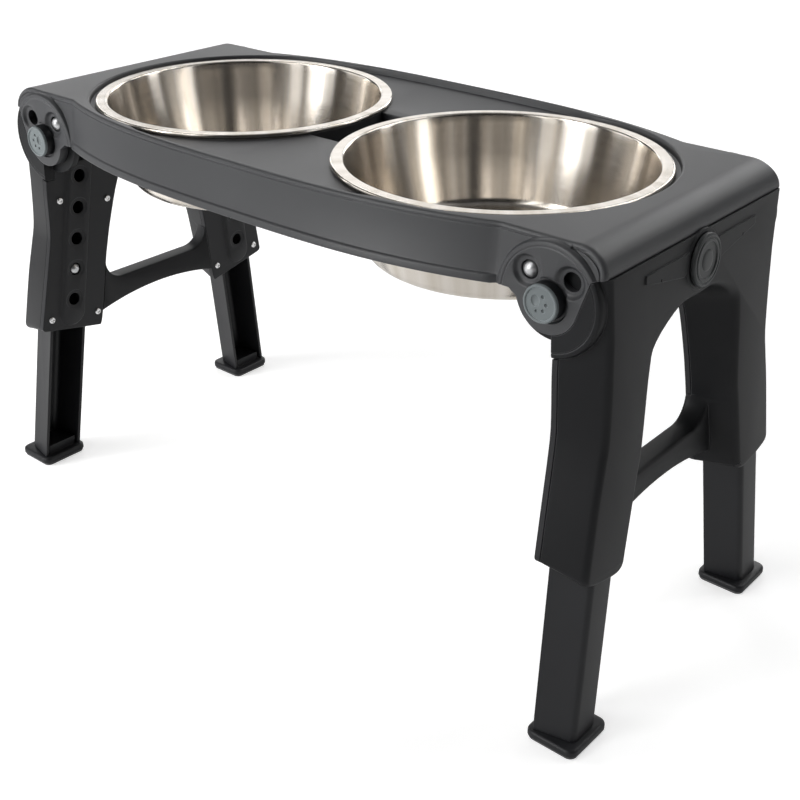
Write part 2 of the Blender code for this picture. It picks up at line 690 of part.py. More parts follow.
def leg_section(inner, outer, grow, mouth=0.0):
    """Leg outline at the floor, rounded outside, and run out through its open side by mouth."""
    near = LEG_X - LEG_HALF_DEPTH
    far = LEG_X + LEG_HALF_DEPTH + grow
    corner = LEG_CORNER
    top = arc((far - corner, LEG_Y + outer + grow - corner), corner, 90, 0, 3)
    bottom = [(x, 2 * LEG_Y - y) for x, y in reversed(top)]
    side = [(near - mouth, LEG_Y + inner + grow)]
    if mouth > 0:
        side.append((near, LEG_Y + inner + grow))
    return top + bottom + [(x, 2 * LEG_Y - y) for x, y in reversed(side)] + side


def leg_pocket(inner, outer, low, high, grow, mouth):
    return shear_along_leg(outline_prism(leg_section(inner, outer, grow, mouth), low, high))


def split_cutter(low=KNUCKLE_FACE_Y):
    """Space that the deck's ear and lobe take out of the end frame, with the running gap."""
    outline = cheek_outline(RUN)
    outline += [(DECK_HALF_LENGTH + RUN, SEAM_Z - RUN), (FRAME_OUTER, SEAM_Z + RUN), (FRAME_OUTER, FAR),
                (BOW_HALF_LENGTH - LOBE_FLAT, FAR)]
    return outline_prism(outline, low, FAR, "XZ")


def frame_ear():
    """Lower, outer part of the ear, which turns with the end frame."""
    low = KNUCKLE_FACE_Y - PAST
    inner_side = shear_in_x(box((0.0, low - PAST, 0.0), (FRAME_INNER, FAR, FAR)))
    return cut(ear_disc(low), inner_side, split_cutter(low - PAST))


def knuckle():
    """Lug behind the deck's lobe, with the boss of the lock pin on its back."""
    pivot = (PIVOT_X, 0, PIVOT_Z)
    lug = round_bar("Y", pivot, KNUCKLE_BACK_Y, KNUCKLE_FACE_Y, KNUCKLE_RADIUS)
    web = shear_in_x(box((HOUSING_INNER, KNUCKLE_BACK_Y, PIVOT_Z - EAR_RADIUS),
                         (FRAME_OUTER - PAST, KNUCKLE_FACE_Y, PIVOT_Z)))
    boss = round_bar("Y", lock_spot(), KNUCKLE_FACE_Y - LOCK_POCKET - LOCK_BOSS_WALL, KNUCKLE_BACK_Y + PAST,
                     PIN_POCKET_RADIUS + LOCK_BOSS_WALL, steps=SMALL_STEPS)
    return join(lug, web, boss)


def knuckle_cutters():
    """Pivot bore and lock pin pocket, cut after the face of the knuckle is trimmed."""
    bore = round_bar("Y", (PIVOT_X, 0, PIVOT_Z), KNUCKLE_BACK_Y - PAST, KNUCKLE_FACE_Y + PAST,
                     PIVOT_PIN_RADIUS + RUN, steps=SMALL_STEPS)
    pocket = round_bar("Y", lock_spot(), KNUCKLE_FACE_Y - LOCK_POCKET, KNUCKLE_FACE_Y + PAST,
                       PIN_POCKET_RADIUS, steps=SMALL_STEPS)
    return [bore, pocket]


def screw_places():
    spots = []
    for side_step, z in hung(SCREW_PLACES):
        spots.append((LEG_Y - LEG_SPLAY * z + side_step, z))
    return spots


def hole_places():
    spots = []
    for index in range(HOLE_COUNT):
        z = PIN_Z + (STEPS_UP - index) * PIN_DROP
        spots.append((LEG_Y - LEG_SPLAY * z, z))
    return spots


def badge_ring_and_wings():
    low = FRAME_OUTER - PAST
    ring = round_bar("X", (0, 0, BADGE_Z), low, FRAME_OUTER + BADGE_RING_HEIGHT, BADGE_RING_RADIUS)
    pieces = [ring]
    for sign_y in ENDS.values():
        outline = [(y * sign_y, z) for y, z in hung(WING_OUTLINE)]
        pieces.append(outline_prism(outline, low, FRAME_OUTER + WING_HEIGHT, "YZ"))
    return [shear_in_x(piece) for piece in pieces]


def build_frames(material):
    """End frame: two leg housings, arch, panel, crossbar, ears and knuckles, in one moulding."""
    corner = join(knuckle(), frame_ear())
    corners = [mirrored(corner, 1, sign_y) for sign_y in ENDS.values()]
    frame = join(frame_shell(), crossbar(), *corners, *badge_ring_and_wings())
    wide_end = TONGUE_BOTTOM + LEG_RISE + 2 * LEG_CLEAR
    pocket_end = LEG_TOP + LEG_RISE + 2 * LEG_CLEAR
    mouth = LEG_CLEAR + PLATE_THICK
    wide = leg_pocket(LEG_HALF_INNER, LEG_HALF_OUTER, 0.0, wide_end, LEG_CLEAR, mouth)
    narrow = leg_pocket(LEG_HALF_OUTER, LEG_HALF_OUTER, wide_end - PAST, pocket_end, LEG_CLEAR, mouth)
    corner_cutters = [split_cutter(), wide, narrow, *knuckle_cutters()]
    peg_hole = round_bar("X", (0, 0, BADGE_Z), FRAME_OUTER - 2 * PANEL_THICK, FRAME_OUTER + 2 * PANEL_THICK,
                         BADGE_PEG_RADIUS + SCREW_CLEAR, steps=BADGE_PEG_STEPS)
    cutters = [shear_in_x(peg_hole)]
    for sign_y in ENDS.values():
        cutters += [mirrored(item, 1, sign_y) for item in corner_cutters]
        for y, z in screw_places():
            start = FRAME_INNER - LEAN * z
            cutters.append(round_bar("X", (0, y * sign_y, z), start, start + SCREW_LENGTH + PAST,
                                     SCREW_RADIUS + SCREW_CLEAR, steps=SCREW_STEPS))
    discard(corner, *corner_cutters)
    frame = cut(frame, *cutters)
    for side, sign_x in SIDES.items():
        finish(frame, "end_frame_" + side, material, (PIVOT_X, 0, PIVOT_Z), sign_x)
    discard(frame)


def build_badges(material):
    start = FRAME_OUTER + BADGE_RING_HEIGHT + GAP
    disc = round_bar("X", (0, 0, BADGE_Z), start, start + BADGE_THICK, BADGE_RADIUS, BADGE_RADIUS - MM)
    peg = round_bar("X", (0, 0, BADGE_Z), FRAME_OUTER - PANEL_THICK - BADGE_PEG_PROUD, start + PAST,
                    BADGE_PEG_RADIUS, steps=BADGE_PEG_STEPS)
    badge = shear_in_x(join(disc, peg))
    for side, sign_x in SIDES.items():
        finish(badge, "badge_" + side, material, (FRAME_OUTER - LEAN * BADGE_Z, 0, BADGE_Z), sign_x)
    discard(badge)


# Corner pieces

def plate_outline():
    inner = hung(ARCH_INNER)[3:]
    bottom = hung(BOTTOM_INNER)
    front = hung(FRONT_INNER)
    top_arch = (inner[0][0] - 8 * MM, PLATE_TOP - 10 * MM)
    return inner + bottom + front + [(front[-1][0], PLATE_TOP), (top_arch[0], PLATE_TOP), top_arch]


def column_outline(half, margin):
    """Stadium along the line of holes, in Y and Z."""
    holes = hole_places()
    low_y, low_z = holes[-1]
    bottom = (low_y + LEG_SPLAY * (margin - half), low_z - margin + half)
    top_y = LEG_Y - LEG_SPLAY * COLUMN_TOP
    return arc(bottom, half, 180, 360, 8) + [(top_y + half, COLUMN_TOP), (top_y - half, COLUMN_TOP)]


def build_plates(material):
    """Cover screwed on each leg housing, with a raised column that has the five height holes."""
    plate = outline_prism(plate_outline(), FRAME_INNER, PLATE_BACK, "YZ")
    column = outline_prism(column_outline(COLUMN_HALF_WIDTH, COLUMN_BOTTOM_MARGIN), COLUMN_FACE,
                           FRAME_INNER + MM, "YZ")
    plate = join(plate, column)
    track = column_outline(PIN_TRACK_HALF, PIN_TRACK_HALF + PAST)
    plate = cut(plate, outline_prism(track, COLUMN_FACE + COLUMN_SKIN, PLATE_BACK + PAST, "YZ"))
    plate = shear_in_x(plate)
    for y, z in hole_places():
        start = COLUMN_FACE - LEAN * z - PAST
        hole = round_bar("X", (0, y, z), start, start + COLUMN_PROUD + PLATE_THICK, PIN_HOLE_RADIUS,
                         steps=SMALL_STEPS)
        plate = cut(plate, hole)
    for y, z in screw_places():
        start = FRAME_INNER - LEAN * z - PAST
        plate = cut(plate, round_bar("X", (0, y, z), start, start + PLATE_THICK + 2 * PAST,
                                     SCREW_RADIUS + SCREW_CLEAR, steps=SCREW_STEPS))
    pivot = (PIVOT_X, 0, PIVOT_Z)
    lug_gap = round_bar("Y", pivot, KNUCKLE_BACK_Y - GAP, FAR, KNUCKLE_RADIUS + 0.8 * MM)
    ear_gap = round_bar("Y", pivot, KNUCKLE_FACE_Y - GAP - PAST, FAR, EAR_RADIUS + GAP, steps=EAR_STEPS)
    bar_low = CROSSBAR_BOTTOM - CROSSBAR_SAG - 3 * PAST
    bar_high = CROSSBAR_TOP + CROSSBAR_FILLET + GAP
    bar_gap = shear_in_x(box((FRAME_INNER - PLATE_THICK, 0.0, bar_low),
                             (PLATE_BACK + PLATE_THICK, CROSSBAR_HALF + GAP, bar_high)))
    plate = cut(plate, lug_gap, ear_gap, bar_gap)
    place_corners(plate, "plate", material, (PIVOT_X, 0, PIVOT_Z))


def place_corners(item, name, material, origin):
    for side, sign_x in SIDES.items():
        for end, sign_y in ENDS.items():
            finish(item, name + "_" + end + "_" + side, material, origin, sign_x, sign_y)
    discard(item)


def build_screws(material):
    """Four pan head screws for each plate."""
    for index, (y, z) in enumerate(screw_places()):
        face = FRAME_INNER - LEAN * z - GAP
        head = round_bar("X", (0, y, z), face - SCREW_HEAD_HEIGHT, face, SCREW_HEAD_RADIUS - 0.8 * MM,
                         SCREW_HEAD_RADIUS, 8)
        shank = round_bar("X", (0, y, z), face - SCREW_HEAD_HEIGHT / 2, face + SCREW_LENGTH, SCREW_RADIUS,
                          steps=SCREW_STEPS)
        place_corners(join(head, shank), "plate_screw_%d" % (index + 1), material, (face, y, z))


def leg_axis_point(z):
    return (LEG_X - LEAN * z, LEG_Y - LEG_SPLAY * z, z)


def pin_face(z=PIN_Z):
    """X of the plate's back at this height."""
    return PLATE_BACK - LEAN * z


def build_legs(material):
    """Channel leg with a narrower tongue inside the housing and a block for its spring pin."""
    wide = leg_pocket(LEG_HALF_INNER, LEG_HALF_OUTER, LEG_BOTTOM, TONGUE_BOTTOM, 0.0, 0.0)
    tongue = leg_pocket(LEG_HALF_OUTER, LEG_HALF_OUTER, TONGUE_BOTTOM - PAST, LEG_TOP, 0.0, 0.0)
    leg = join(wide, tongue)
    step = TONGUE_BOTTOM - 2 * PAST
    hollow_low = leg_pocket(LEG_HALF_INNER, LEG_HALF_OUTER, -PAST, step, -LEG_WALL, PAST)
    hollow_high = leg_pocket(LEG_HALF_OUTER, LEG_HALF_OUTER, step - PAST, LEG_TOP + PAST, -LEG_WALL, PAST)
    leg = cut(leg, hollow_low, hollow_high)
    inside = LEG_HALF_OUTER - LEG_WALL / 2
    block = box((LEG_X - LEG_HALF_DEPTH, LEG_Y - inside, PIN_Z - BLOCK_HALF_HEIGHT),
                (LEG_X + LEG_HALF_DEPTH - LEG_WALL / 2, LEG_Y + inside, PIN_Z + BLOCK_HALF_HEIGHT))
    leg = join(leg, shear_along_leg(block))
    x, y, z = leg_axis_point(PIN_Z)
    pocket = round_bar("X", (0, y, z), pin_face() - PLATE_THICK, pin_face() + PIN_POCKET + GAP,
                       PIN_POCKET_RADIUS, steps=SMALL_STEPS)
    leg = cut(leg, pocket)
    place_corners(leg, "leg", material, leg_axis_point(PIN_Z))


def foot_centre():
    return Matrix.Translation((LEG_X - LEAN * FOOT_TOP, LEG_Y - LEG_SPLAY * FOOT_TOP, 0))


def build_feet(material):
    """Flanged foot with a plug that goes up into the leg's channel."""
    flange = rounded_rectangle(FOOT_LENGTH / 2, FOOT_WIDTH / 2, FOOT_CORNER)
    foot = outline_prism(flange, FOOT_BOTTOM, FOOT_TOP)
    foot.data.transform(foot_centre())
    low = LEG_BOTTOM
    plug = leg_pocket(LEG_HALF_INNER - 1.6 * MM, LEG_HALF_OUTER, low - MM, low + FOOT_PLUG_HEIGHT,
                      -LEG_WALL - FOOT_PLUG_CLEAR, -2 * MM)
    place_corners(join(foot, plug), "foot", material, leg_axis_point(PIN_Z))


def build_soles(material):
    sole = outline_prism(rounded_rectangle(FOOT_LENGTH / 2 - SOLE_INSET, FOOT_WIDTH / 2 - SOLE_INSET,
                                           FOOT_CORNER - SOLE_INSET), 0.0, SOLE_TOP)
    sole.data.transform(foot_centre())
    place_corners(sole, "sole", material, leg_axis_point(PIN_Z))


def spring_pin(length):
    """Domed pin along +X from a flange at X = 0, with the spring's hollow in its back."""
    stem = length - PIN_RADIUS
    back = -PIN_FLANGE_THICK
    hollow = back + PIN_HOLLOW_DEPTH
    profile = [(0.0, hollow), (PIN_HOLLOW_RADIUS, hollow), (PIN_HOLLOW_RADIUS, back)]
    profile += [(PIN_FLANGE_RADIUS, back), (PIN_FLANGE_RADIUS, 0.0), (PIN_RADIUS, 0.0)]
    profile += arc((0.0, stem), PIN_RADIUS, 0, 90, 3)[:-1] + [(0.0, length)]
    return turned(profile, SMALL_STEPS)


def coil_spring():
    """Small coil spring at its pressed length, on the +Z axis from Z = 0."""
    curve = bpy.data.curves.new("coil", "CURVE")
    curve.dimensions = "3D"
    curve.bevel_depth = SPRING_WIRE
    curve.bevel_resolution = 0
    curve.use_fill_caps = True
    count = int(SPRING_TURNS * 8) + 1
    line = curve.splines.new("POLY")
    line.points.add(count - 1)
    rise = SPRING_LENGTH - 2 * SPRING_WIRE - 0.2 * MM
    for index, spot in enumerate(line.points):
        turn = 2 * math.pi * SPRING_TURNS * index / (count - 1)
        height = SPRING_WIRE + 0.1 * MM + rise * index / (count - 1)
        spot.co = (SPRING_RADIUS * math.cos(turn), SPRING_RADIUS * math.sin(turn), height, 1.0)
    holder = scratch_object(curve)
    mesh = evaluated_mesh(holder)
    form = bmesh.new()
    form.from_mesh(mesh)
    bmesh.ops.remove_doubles(form, verts=form.verts, dist=1e-6)
    bpy.data.objects.remove(holder, do_unlink=True)
    return from_bmesh(form)


def aim(item, direction, place):
    """Turn a piece made along +Z to a direction and move it to its place."""
    turn = Vector((0, 0, 1)).rotation_difference(Vector(direction)).to_matrix().to_4x4()
    item.data.transform(Matrix.Translation(place) @ turn)
    return item


def build_height_pins(pin_material, spring_material):
    """Spring pin in each leg: its dome stands behind the face of the plate's column."""
    x, y, z = leg_axis_point(PIN_Z)
    flange = pin_face() + GAP
    tip = COLUMN_FACE + COLUMN_SKIN - LEAN * z + RUN
    pin = aim(spring_pin(flange - tip), (-1, 0, 0), (flange, y, z))
    place_corners(pin, "height_pin", pin_material, (flange, y, z))
    floor = pin_face() + PIN_POCKET
    spring = aim(coil_spring(), (-1, 0, 0), (floor, y, z))
    place_corners(spring, "height_spring", spring_material, (floor, y, z))


def build_lock_pins(pin_material, spring_material):
    """Spring pin in each knuckle: its dome stands behind the skin of the deck's ear."""
    x, _, z = lock_spot()
    flange = KNUCKLE_FACE_Y - GAP
    length = TRACK_DEPTH_Y - RUN - flange
    pin = aim(spring_pin(length), (0, 1, 0), (x, flange, z))
    place_corners(pin, "lock_pin", pin_material, (x, flange, z))
    floor = KNUCKLE_FACE_Y - LOCK_POCKET + GAP
    spring = aim(coil_spring(), (0, 1, 0), (x, floor, z))
    place_corners(spring, "lock_spring", spring_material, (x, floor, z))


def build_pivots(material):
    """Pivot pin with a wide round head in the ear's recess and a retaining flange inside."""
    pivot = (PIVOT_X, 0, PIVOT_Z)
    seat = EAR_FACE_Y - CAP_RECESS_DEPTH + GAP
    back = KNUCKLE_BACK_Y - GAP
    face = EAR_FACE_Y + CAP_PROUD
    shaft = round_bar("Y", pivot, back - MM, seat + MM, PIVOT_PIN_RADIUS, steps=SMALL_STEPS)
    flange = round_bar("Y", pivot, back - PIVOT_HEAD_THICK, back, PIVOT_HEAD_RADIUS, steps=SMALL_STEPS)
    cap = round_bar("Y", pivot, seat, face, CAP_RADIUS, CAP_RADIUS - 0.4 * MM)
    dish = round_bar("Y", pivot, face - CAP_DISH_DEPTH, face + MM, CAP_DISH_RADIUS)
    pin = cut(join(cap, shaft, flange), dish)
    place_corners(pin, "pivot_pin", material, pivot)


def main():
    clear_scene()
    make_collection("double_dog_feeder")
    make_collection(SCRATCH)
    charcoal = make_material("charcoal_plastic", (0.035, 0.036, 0.039), 0.55)
    black = make_material("black_plastic", (0.022, 0.022, 0.025), 0.5)
    grey = make_material("grey_plastic", (0.16, 0.18, 0.19), 0.45)
    rubber = make_material("sole_rubber", (0.12, 0.12, 0.12), 0.8)
    steel = make_material("brushed_steel", (0.62, 0.61, 0.58), 0.28, 1.0)
    pin_steel = make_material("pin_steel", (0.55, 0.56, 0.57), 0.3, 1.0)
    spring_steel = make_material("spring_steel", (0.45, 0.45, 0.46), 0.35, 1.0)
    build_deck(charcoal)
    build_bowls(steel)
    build_frames(charcoal)
    build_badges(grey)
    build_plates(black)
    build_screws(pin_steel)
    build_legs(black)
    build_feet(black)
    build_soles(rubber)
    build_height_pins(pin_steel, spring_steel)
    build_lock_pins(pin_steel, spring_steel)
    build_pivots(grey)


main()
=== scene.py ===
import math
import bpy
from mathutils import Matrix, Vector


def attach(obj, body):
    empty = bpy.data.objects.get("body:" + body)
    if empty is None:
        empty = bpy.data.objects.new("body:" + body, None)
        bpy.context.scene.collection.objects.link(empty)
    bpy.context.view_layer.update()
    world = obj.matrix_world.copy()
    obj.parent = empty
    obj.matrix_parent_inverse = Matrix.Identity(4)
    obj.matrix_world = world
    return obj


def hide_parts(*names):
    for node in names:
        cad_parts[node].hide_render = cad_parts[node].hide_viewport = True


# Raised dog feeder: every shape below is worked out in millimetres and turned to metres when it is finished.
# Left is -X, the front is -Y. Corner pieces are made at the right rear corner and mirrored to the others.

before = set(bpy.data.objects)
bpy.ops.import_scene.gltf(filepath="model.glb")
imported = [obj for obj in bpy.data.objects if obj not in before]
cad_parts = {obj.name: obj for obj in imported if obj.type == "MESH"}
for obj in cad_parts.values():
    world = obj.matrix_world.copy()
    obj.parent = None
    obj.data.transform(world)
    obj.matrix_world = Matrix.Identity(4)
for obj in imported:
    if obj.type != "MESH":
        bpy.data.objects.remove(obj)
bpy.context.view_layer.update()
sides = {"left": -1, "right": 1}
ends = {"front": -1, "rear": 1}
print("frame loaded:", len(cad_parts), "nodes")


# Helpers for modelling

def selectOnly(item):
    bpy.ops.object.select_all(action="DESELECT")
    item.select_set(True)
    bpy.context.view_layer.objects.active = item


def meshObject(name, points, faces):
    mesh = bpy.data.meshes.new(name)
    mesh.from_pydata([tuple(point) for point in points], [], faces)
    item = bpy.data.objects.new(name, mesh)
    bpy.context.scene.collection.objects.link(item)
    return item


def faceOutwards(item, mergeDistance=0.002):
    selectOnly(item)
    bpy.ops.object.mode_set(mode="EDIT")
    bpy.ops.mesh.select_all(action="SELECT")
    bpy.ops.mesh.remove_doubles(threshold=mergeDistance)
    bpy.ops.mesh.normals_make_consistent(inside=False)
    bpy.ops.object.mode_set(mode="OBJECT")
    return item


def loft(name, rings):
    count = len(rings[0])
    points = [point for ring in rings for point in ring]
    faces = [list(range(count)), list(range(len(points) - count, len(points)))]
    for level in range(len(rings) - 1):
        for index in range(count):
            following = (index + 1) % count
            low = level * count
            faces.append([low + index, low + following, low + count + following, low + count + index])
    return faceOutwards(meshObject(name, points, faces))


def placed(plane, first, second, third):
    return {"XY": (first, second, third), "XZ": (first, third, second), "YZ": (third, first, second)}[plane]


def prism(name, outline, low, high, plane="XY"):
    return loft(name, [[placed(plane, a, b, level) for a, b in outline] for level in (low, high)])


# Profile of (radius, distance along the axis), turned round the axis through centre
def turned(name, profile, centre, axis, steps=96):
    points, faces, rows = [], [], []
    for radius, along in profile:
        row = []
        for step in range(1 if radius == 0 else steps):
            angle = 2 * math.pi * step / steps
            flat = (radius * math.cos(angle), radius * math.sin(angle), along)
            row.append(len(points))
            points.append(flat)
        rows.append(row)
    for lower, upper in zip(rows, rows[1:]):
        for step in range(steps):
            following = (step + 1) % steps
            corners = [lower[step % len(lower)], lower[following % len(lower)],
                       upper[following % len(upper)], upper[step % len(upper)]]
            faces.append(list(dict.fromkeys(corners)))
    item = meshObject(name, points, faces)
    turn = Vector((0, 0, 1)).rotation_difference(Vector(axis)).to_matrix().to_4x4()
    item.data.transform(Matrix.Translation(centre) @ turn)
    return faceOutwards(item)


def arc(centre, radius, start, end, steps):
    angles = [math.radians(start + (end - start) * step / steps) for step in range(steps + 1)]
    return [(centre[0] + radius * math.cos(angle), centre[1] + radius * math.sin(angle)) for angle in angles]


# Smooth line through given points
def throughPoints(points, perSpan=4):
    line = []
    for index in range(len(points) - 1):
        before = points[max(index - 1, 0)]
        first, second = points[index], points[index + 1]
        after = points[min(index + 2, len(points) - 1)]
        for step in range(perSpan):
            t = step / perSpan
            line.append(tuple(
                0.5 * (2 * b + (c - a) * t + (2 * a - 5 * b + 4 * c - d) * t * t + (3 * b - a - 3 * c + d) * t ** 3)
                for a, b, c, d in zip(before, first, second, after)))
    return line + [points[-1]]


def softCorners(points, passes=2):
    for _ in range(passes):
        line = [points[0]]
        for first, second in zip(points, points[1:]):
            line.append(tuple(0.75 * a + 0.25 * b for a, b in zip(first, second)))
            line.append(tuple(0.25 * a + 0.75 * b for a, b in zip(first, second)))
        points = line + [points[-1]]
    return points


# Closed outline moved outwards, or inwards where the distance is negative
def grown(outline, distance):
    area = sum(a[0] * b[1] - b[0] * a[1] for a, b in zip(outline, outline[1:] + outline[:1]))
    turn = 1 if area > 0 else -1
    result = []
    for index, point in enumerate(outline):
        before, after = outline[index - 1], outline[(index + 1) % len(outline)]
        normals = []
        for first, second in ((before, point), (point, after)):
            dx, dy = second[0] - first[0], second[1] - first[1]
            length = math.hypot(dx, dy) or 1.0
            normals.append((turn * dy / length, -turn * dx / length))
        nx, ny = normals[0][0] + normals[1][0], normals[0][1] + normals[1][1]
        size = math.hypot(nx, ny) or 1.0
        nx, ny = nx / size, ny / size
        spread = distance / max(nx * normals[0][0] + ny * normals[0][1], 0.5)
        result.append((point[0] + nx * spread, point[1] + ny * spread))
    return result


def change(item, others, operation):
    for other in others:
        step = item.modifiers.new("change", "BOOLEAN")
        step.operation = operation
        step.solver = "MANIFOLD"
        step.object = other
        selectOnly(item)
        bpy.ops.object.modifier_apply(modifier=step.name)
        bpy.data.objects.remove(other, do_unlink=True)
    return item


def cut(item, *others):
    return change(item, others, "DIFFERENCE")


def join(item, *others):
    return change(item, others, "UNION")


def mirroredCopy(item, signX, signY):
    copy = item.copy()
    copy.data = item.data.copy()
    bpy.context.scene.collection.objects.link(copy)
    copy.data.transform(Matrix.Diagonal((signX, signY, 1, 1)))
    if signX * signY < 0:
        copy.data.flip_normals()
    return copy


def leaned(item, leanX, leanY=0.0):
    item.data.transform(Matrix(((1, 0, -leanX, 0), (0, 1, -leanY, 0), (0, 0, 1, 0), (0, 0, 0, 1))))
    return item


def finishPiece(item, name, body, nodes, material, smoothAngle=32):
    item.name = name
    item.data.name = name
    item.data.transform(Matrix.Scale(0.001, 4))
    item.data.materials.clear()
    item.data.materials.append(material)
    selectOnly(item)
    bpy.ops.object.shade_smooth_by_angle(angle=math.radians(smoothAngle))
    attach(item, body)
    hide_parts(*nodes)
    return item


def atCorners(item, name, material, body, smoothAngle=32):
    for side, signX in sides.items():
        for end, signY in ends.items():
            corner = end + "_" + side
            finishPiece(mirroredCopy(item, signX, signY), name + "_" + corner + "_look",
                        body.format(corner=corner, side=side), [name + "_" + corner], material, smoothAngle)
    bpy.data.objects.remove(item, do_unlink=True)


def atEnds(item, name, material, smoothAngle=32):
    for side, sign in sides.items():
        finishPiece(mirroredCopy(item, sign, 1), name + "_" + side + "_look", "frame_" + side, [name + "_" + side],
                    material, smoothAngle)
    bpy.data.objects.remove(item, do_unlink=True)


# Finishes

# A node with its settings; each value is a number, a colour or the socket that feeds it
def shaderNode(tree, kind, values, **settings):
    node = tree.nodes.new("ShaderNode" + kind)
    for name, setting in settings.items():
        setattr(node, name, setting)
    for name, value in values.items():
        if isinstance(value, bpy.types.NodeSocket):
            tree.links.new(value, node.inputs[name])
        else:
            node.inputs[name].default_value = value
    return node


def mathNode(tree, operation, first, second=None):
    values = {0: first} if second is None else {0: first, 1: second}
    return shaderNode(tree, "Math", values, operation=operation).outputs[0]


def mapRange(tree, value, fromLow, fromHigh, toLow=0.0, toHigh=1.0):
    return shaderNode(tree, "MapRange", {"From Min": fromLow, "From Max": fromHigh, "To Min": toLow, "To Max": toHigh,
                                         "Value": value}).outputs["Result"]


def noise(tree, place, scale, detail, roughness=0.5):
    return shaderNode(tree, "TexNoise", {"Vector": place, "Scale": scale, "Detail": detail,
                                         "Roughness": roughness}).outputs["Fac"]


def mixed(tree, factor, first, second):
    return shaderNode(tree, "Mix", {"Factor": factor, "A": first, "B": second}, data_type="RGBA").outputs["Result"]


def objectPlace(tree):
    return shaderNode(tree, "TexCoord", {}).outputs["Object"]


def newGroup(name, inputs):
    group = bpy.data.node_groups.new(name, "ShaderNodeTree")
    for label, kind, default in inputs:
        socket = group.interface.new_socket(name=label, in_out="INPUT", socket_type="NodeSocket" + kind)
        socket.default_value = default
    for label, kind in (("Colour", "Color"), ("Roughness", "Float"), ("Normal", "Vector")):
        group.interface.new_socket(name=label, in_out="OUTPUT", socket_type="NodeSocket" + kind)
    return group, group.nodes.new("NodeGroupInput").outputs, group.nodes.new("NodeGroupOutput").inputs


# Fine grain of moulded plastic, soft edges, and paler edges that are partly wear and partly a painted highlight along
# each edge
def mouldedSurfaceGroup():
    group, given, result = newGroup("mouldedSurface", [
        ("Colour", "Color", (0.03, 0.03, 0.03, 1)), ("Edge Wear And Highlight Colour", "Color", (0.06, 0.06, 0.06, 1)),
        ("Roughness", "Float", 0.5), ("Grain Size", "Float", 0.0005), ("Grain Depth", "Float", 0.25),
        ("Edge Radius", "Float", 0.0012)])
    place = objectPlace(group)
    softEdge = shaderNode(group, "Bevel", {"Radius": given["Edge Radius"]}, samples=6).outputs["Normal"]
    surface = shaderNode(group, "NewGeometry", {}).outputs["Normal"]
    facing = shaderNode(group, "VectorMath", {0: softEdge, 1: surface}, operation="DOT_PRODUCT").outputs["Value"]
    edge = mapRange(group, mathNode(group, "SUBTRACT", 1.0, facing), 0.01, 0.16)
    grain = noise(group, place, mathNode(group, "DIVIDE", 1.0, given["Grain Size"]), 3.0, 0.6)
    cloud = noise(group, place, 14.0, 4.0)
    # Paler colour on the edges, found from the soft-edge normal: partly wear, partly painted highlight where the edges
    # catch the light
    edgeWearAndHighlight = mathNode(group, "MULTIPLY", edge, mathNode(group, "MULTIPLY", cloud, 1.1))
    colour = mixed(group, edgeWearAndHighlight, given["Colour"], given["Edge Wear And Highlight Colour"])
    shade = mapRange(group, cloud, 0.3, 0.7, 0.9, 1.1)
    varied = shaderNode(group, "VectorMath", {0: colour, "Scale": shade}, operation="SCALE").outputs["Vector"]
    uneven = mathNode(group, "MULTIPLY", mathNode(group, "SUBTRACT", cloud, 0.5), 0.14)
    rough = mathNode(group, "ADD", given["Roughness"], uneven)
    rough = mathNode(group, "SUBTRACT", rough, mathNode(group, "MULTIPLY", edgeWearAndHighlight, 0.08))
    bump = shaderNode(group, "Bump", {"Distance": 0.0001, "Strength": given["Grain Depth"], "Height": grain,
                                      "Normal": softEdge}).outputs["Normal"]
    group.links.new(varied, result["Colour"])
    group.links.new(rough, result["Roughness"])
    group.links.new(bump, result["Normal"])
    return group


# Brush lines that run round a turned bowl, from its own centre
def brushedGroup():
    group, given, result = newGroup("brushedRound", [
        ("Centre", "Vector", (0, 0, 0)), ("Colour", "Color", (0.6, 0.6, 0.6, 1)),
        ("Streak Colour", "Color", (0.5, 0.48, 0.45, 1)), ("Roughness", "Float", 0.25)])
    centred = shaderNode(group, "VectorMath", {0: objectPlace(group), 1: given["Centre"]}, operation="SUBTRACT")
    x, y, z = shaderNode(group, "SeparateXYZ", {0: centred.outputs["Vector"]}).outputs
    across = mathNode(group, "SQRT", mathNode(group, "ADD", mathNode(group, "MULTIPLY", x, x),
                                              mathNode(group, "MULTIPLY", y, y)))
    safe = mathNode(group, "MAXIMUM", across, 0.002)
    around = {0: mathNode(group, "DIVIDE", x, safe), 1: mathNode(group, "DIVIDE", y, safe)}
    lines = mathNode(group, "MULTIPLY", mathNode(group, "SUBTRACT", across, z), 900.0)
    fine = noise(group, shaderNode(group, "CombineXYZ", {**around, 2: lines}).outputs[0], 3.0, 5.0, 0.7)
    streak = noise(group, shaderNode(group, "CombineXYZ", around).outputs[0], 9.0, 4.0)
    colour = mixed(group, mapRange(group, streak, 0.35, 0.68), given["Colour"], given["Streak Colour"])
    uneven = mathNode(group, "MULTIPLY", mathNode(group, "SUBTRACT", fine, 0.5), 0.22)
    bump = shaderNode(group, "Bump", {"Distance": 0.00002, "Strength": 0.35, "Height": fine}).outputs["Normal"]
    group.links.new(colour, result["Colour"])
    group.links.new(mathNode(group, "ADD", given["Roughness"], uneven), result["Roughness"])
    group.links.new(bump, result["Normal"])
    return group


mouldedSurface = mouldedSurfaceGroup()
brushedRound = brushedGroup()


def blankMaterial(name):
    material = bpy.data.materials.new(name)
    material.use_nodes = True
    return material, material.node_tree, material.node_tree.nodes["Principled BSDF"]


def groupMaterial(name, group, lookValues, shaderValues):
    material, tree, shader = blankMaterial(name)
    look = tree.nodes.new("ShaderNodeGroup")
    look.node_tree = group
    for label, value in lookValues.items():
        look.inputs[label].default_value = value
    for made, wanted in (("Colour", "Base Color"), ("Roughness", "Roughness"), ("Normal", "Normal")):
        tree.links.new(look.outputs[made], shader.inputs[wanted])
    for label, value in shaderValues.items():
        shader.inputs[label].default_value = value
    return material, tree, shader


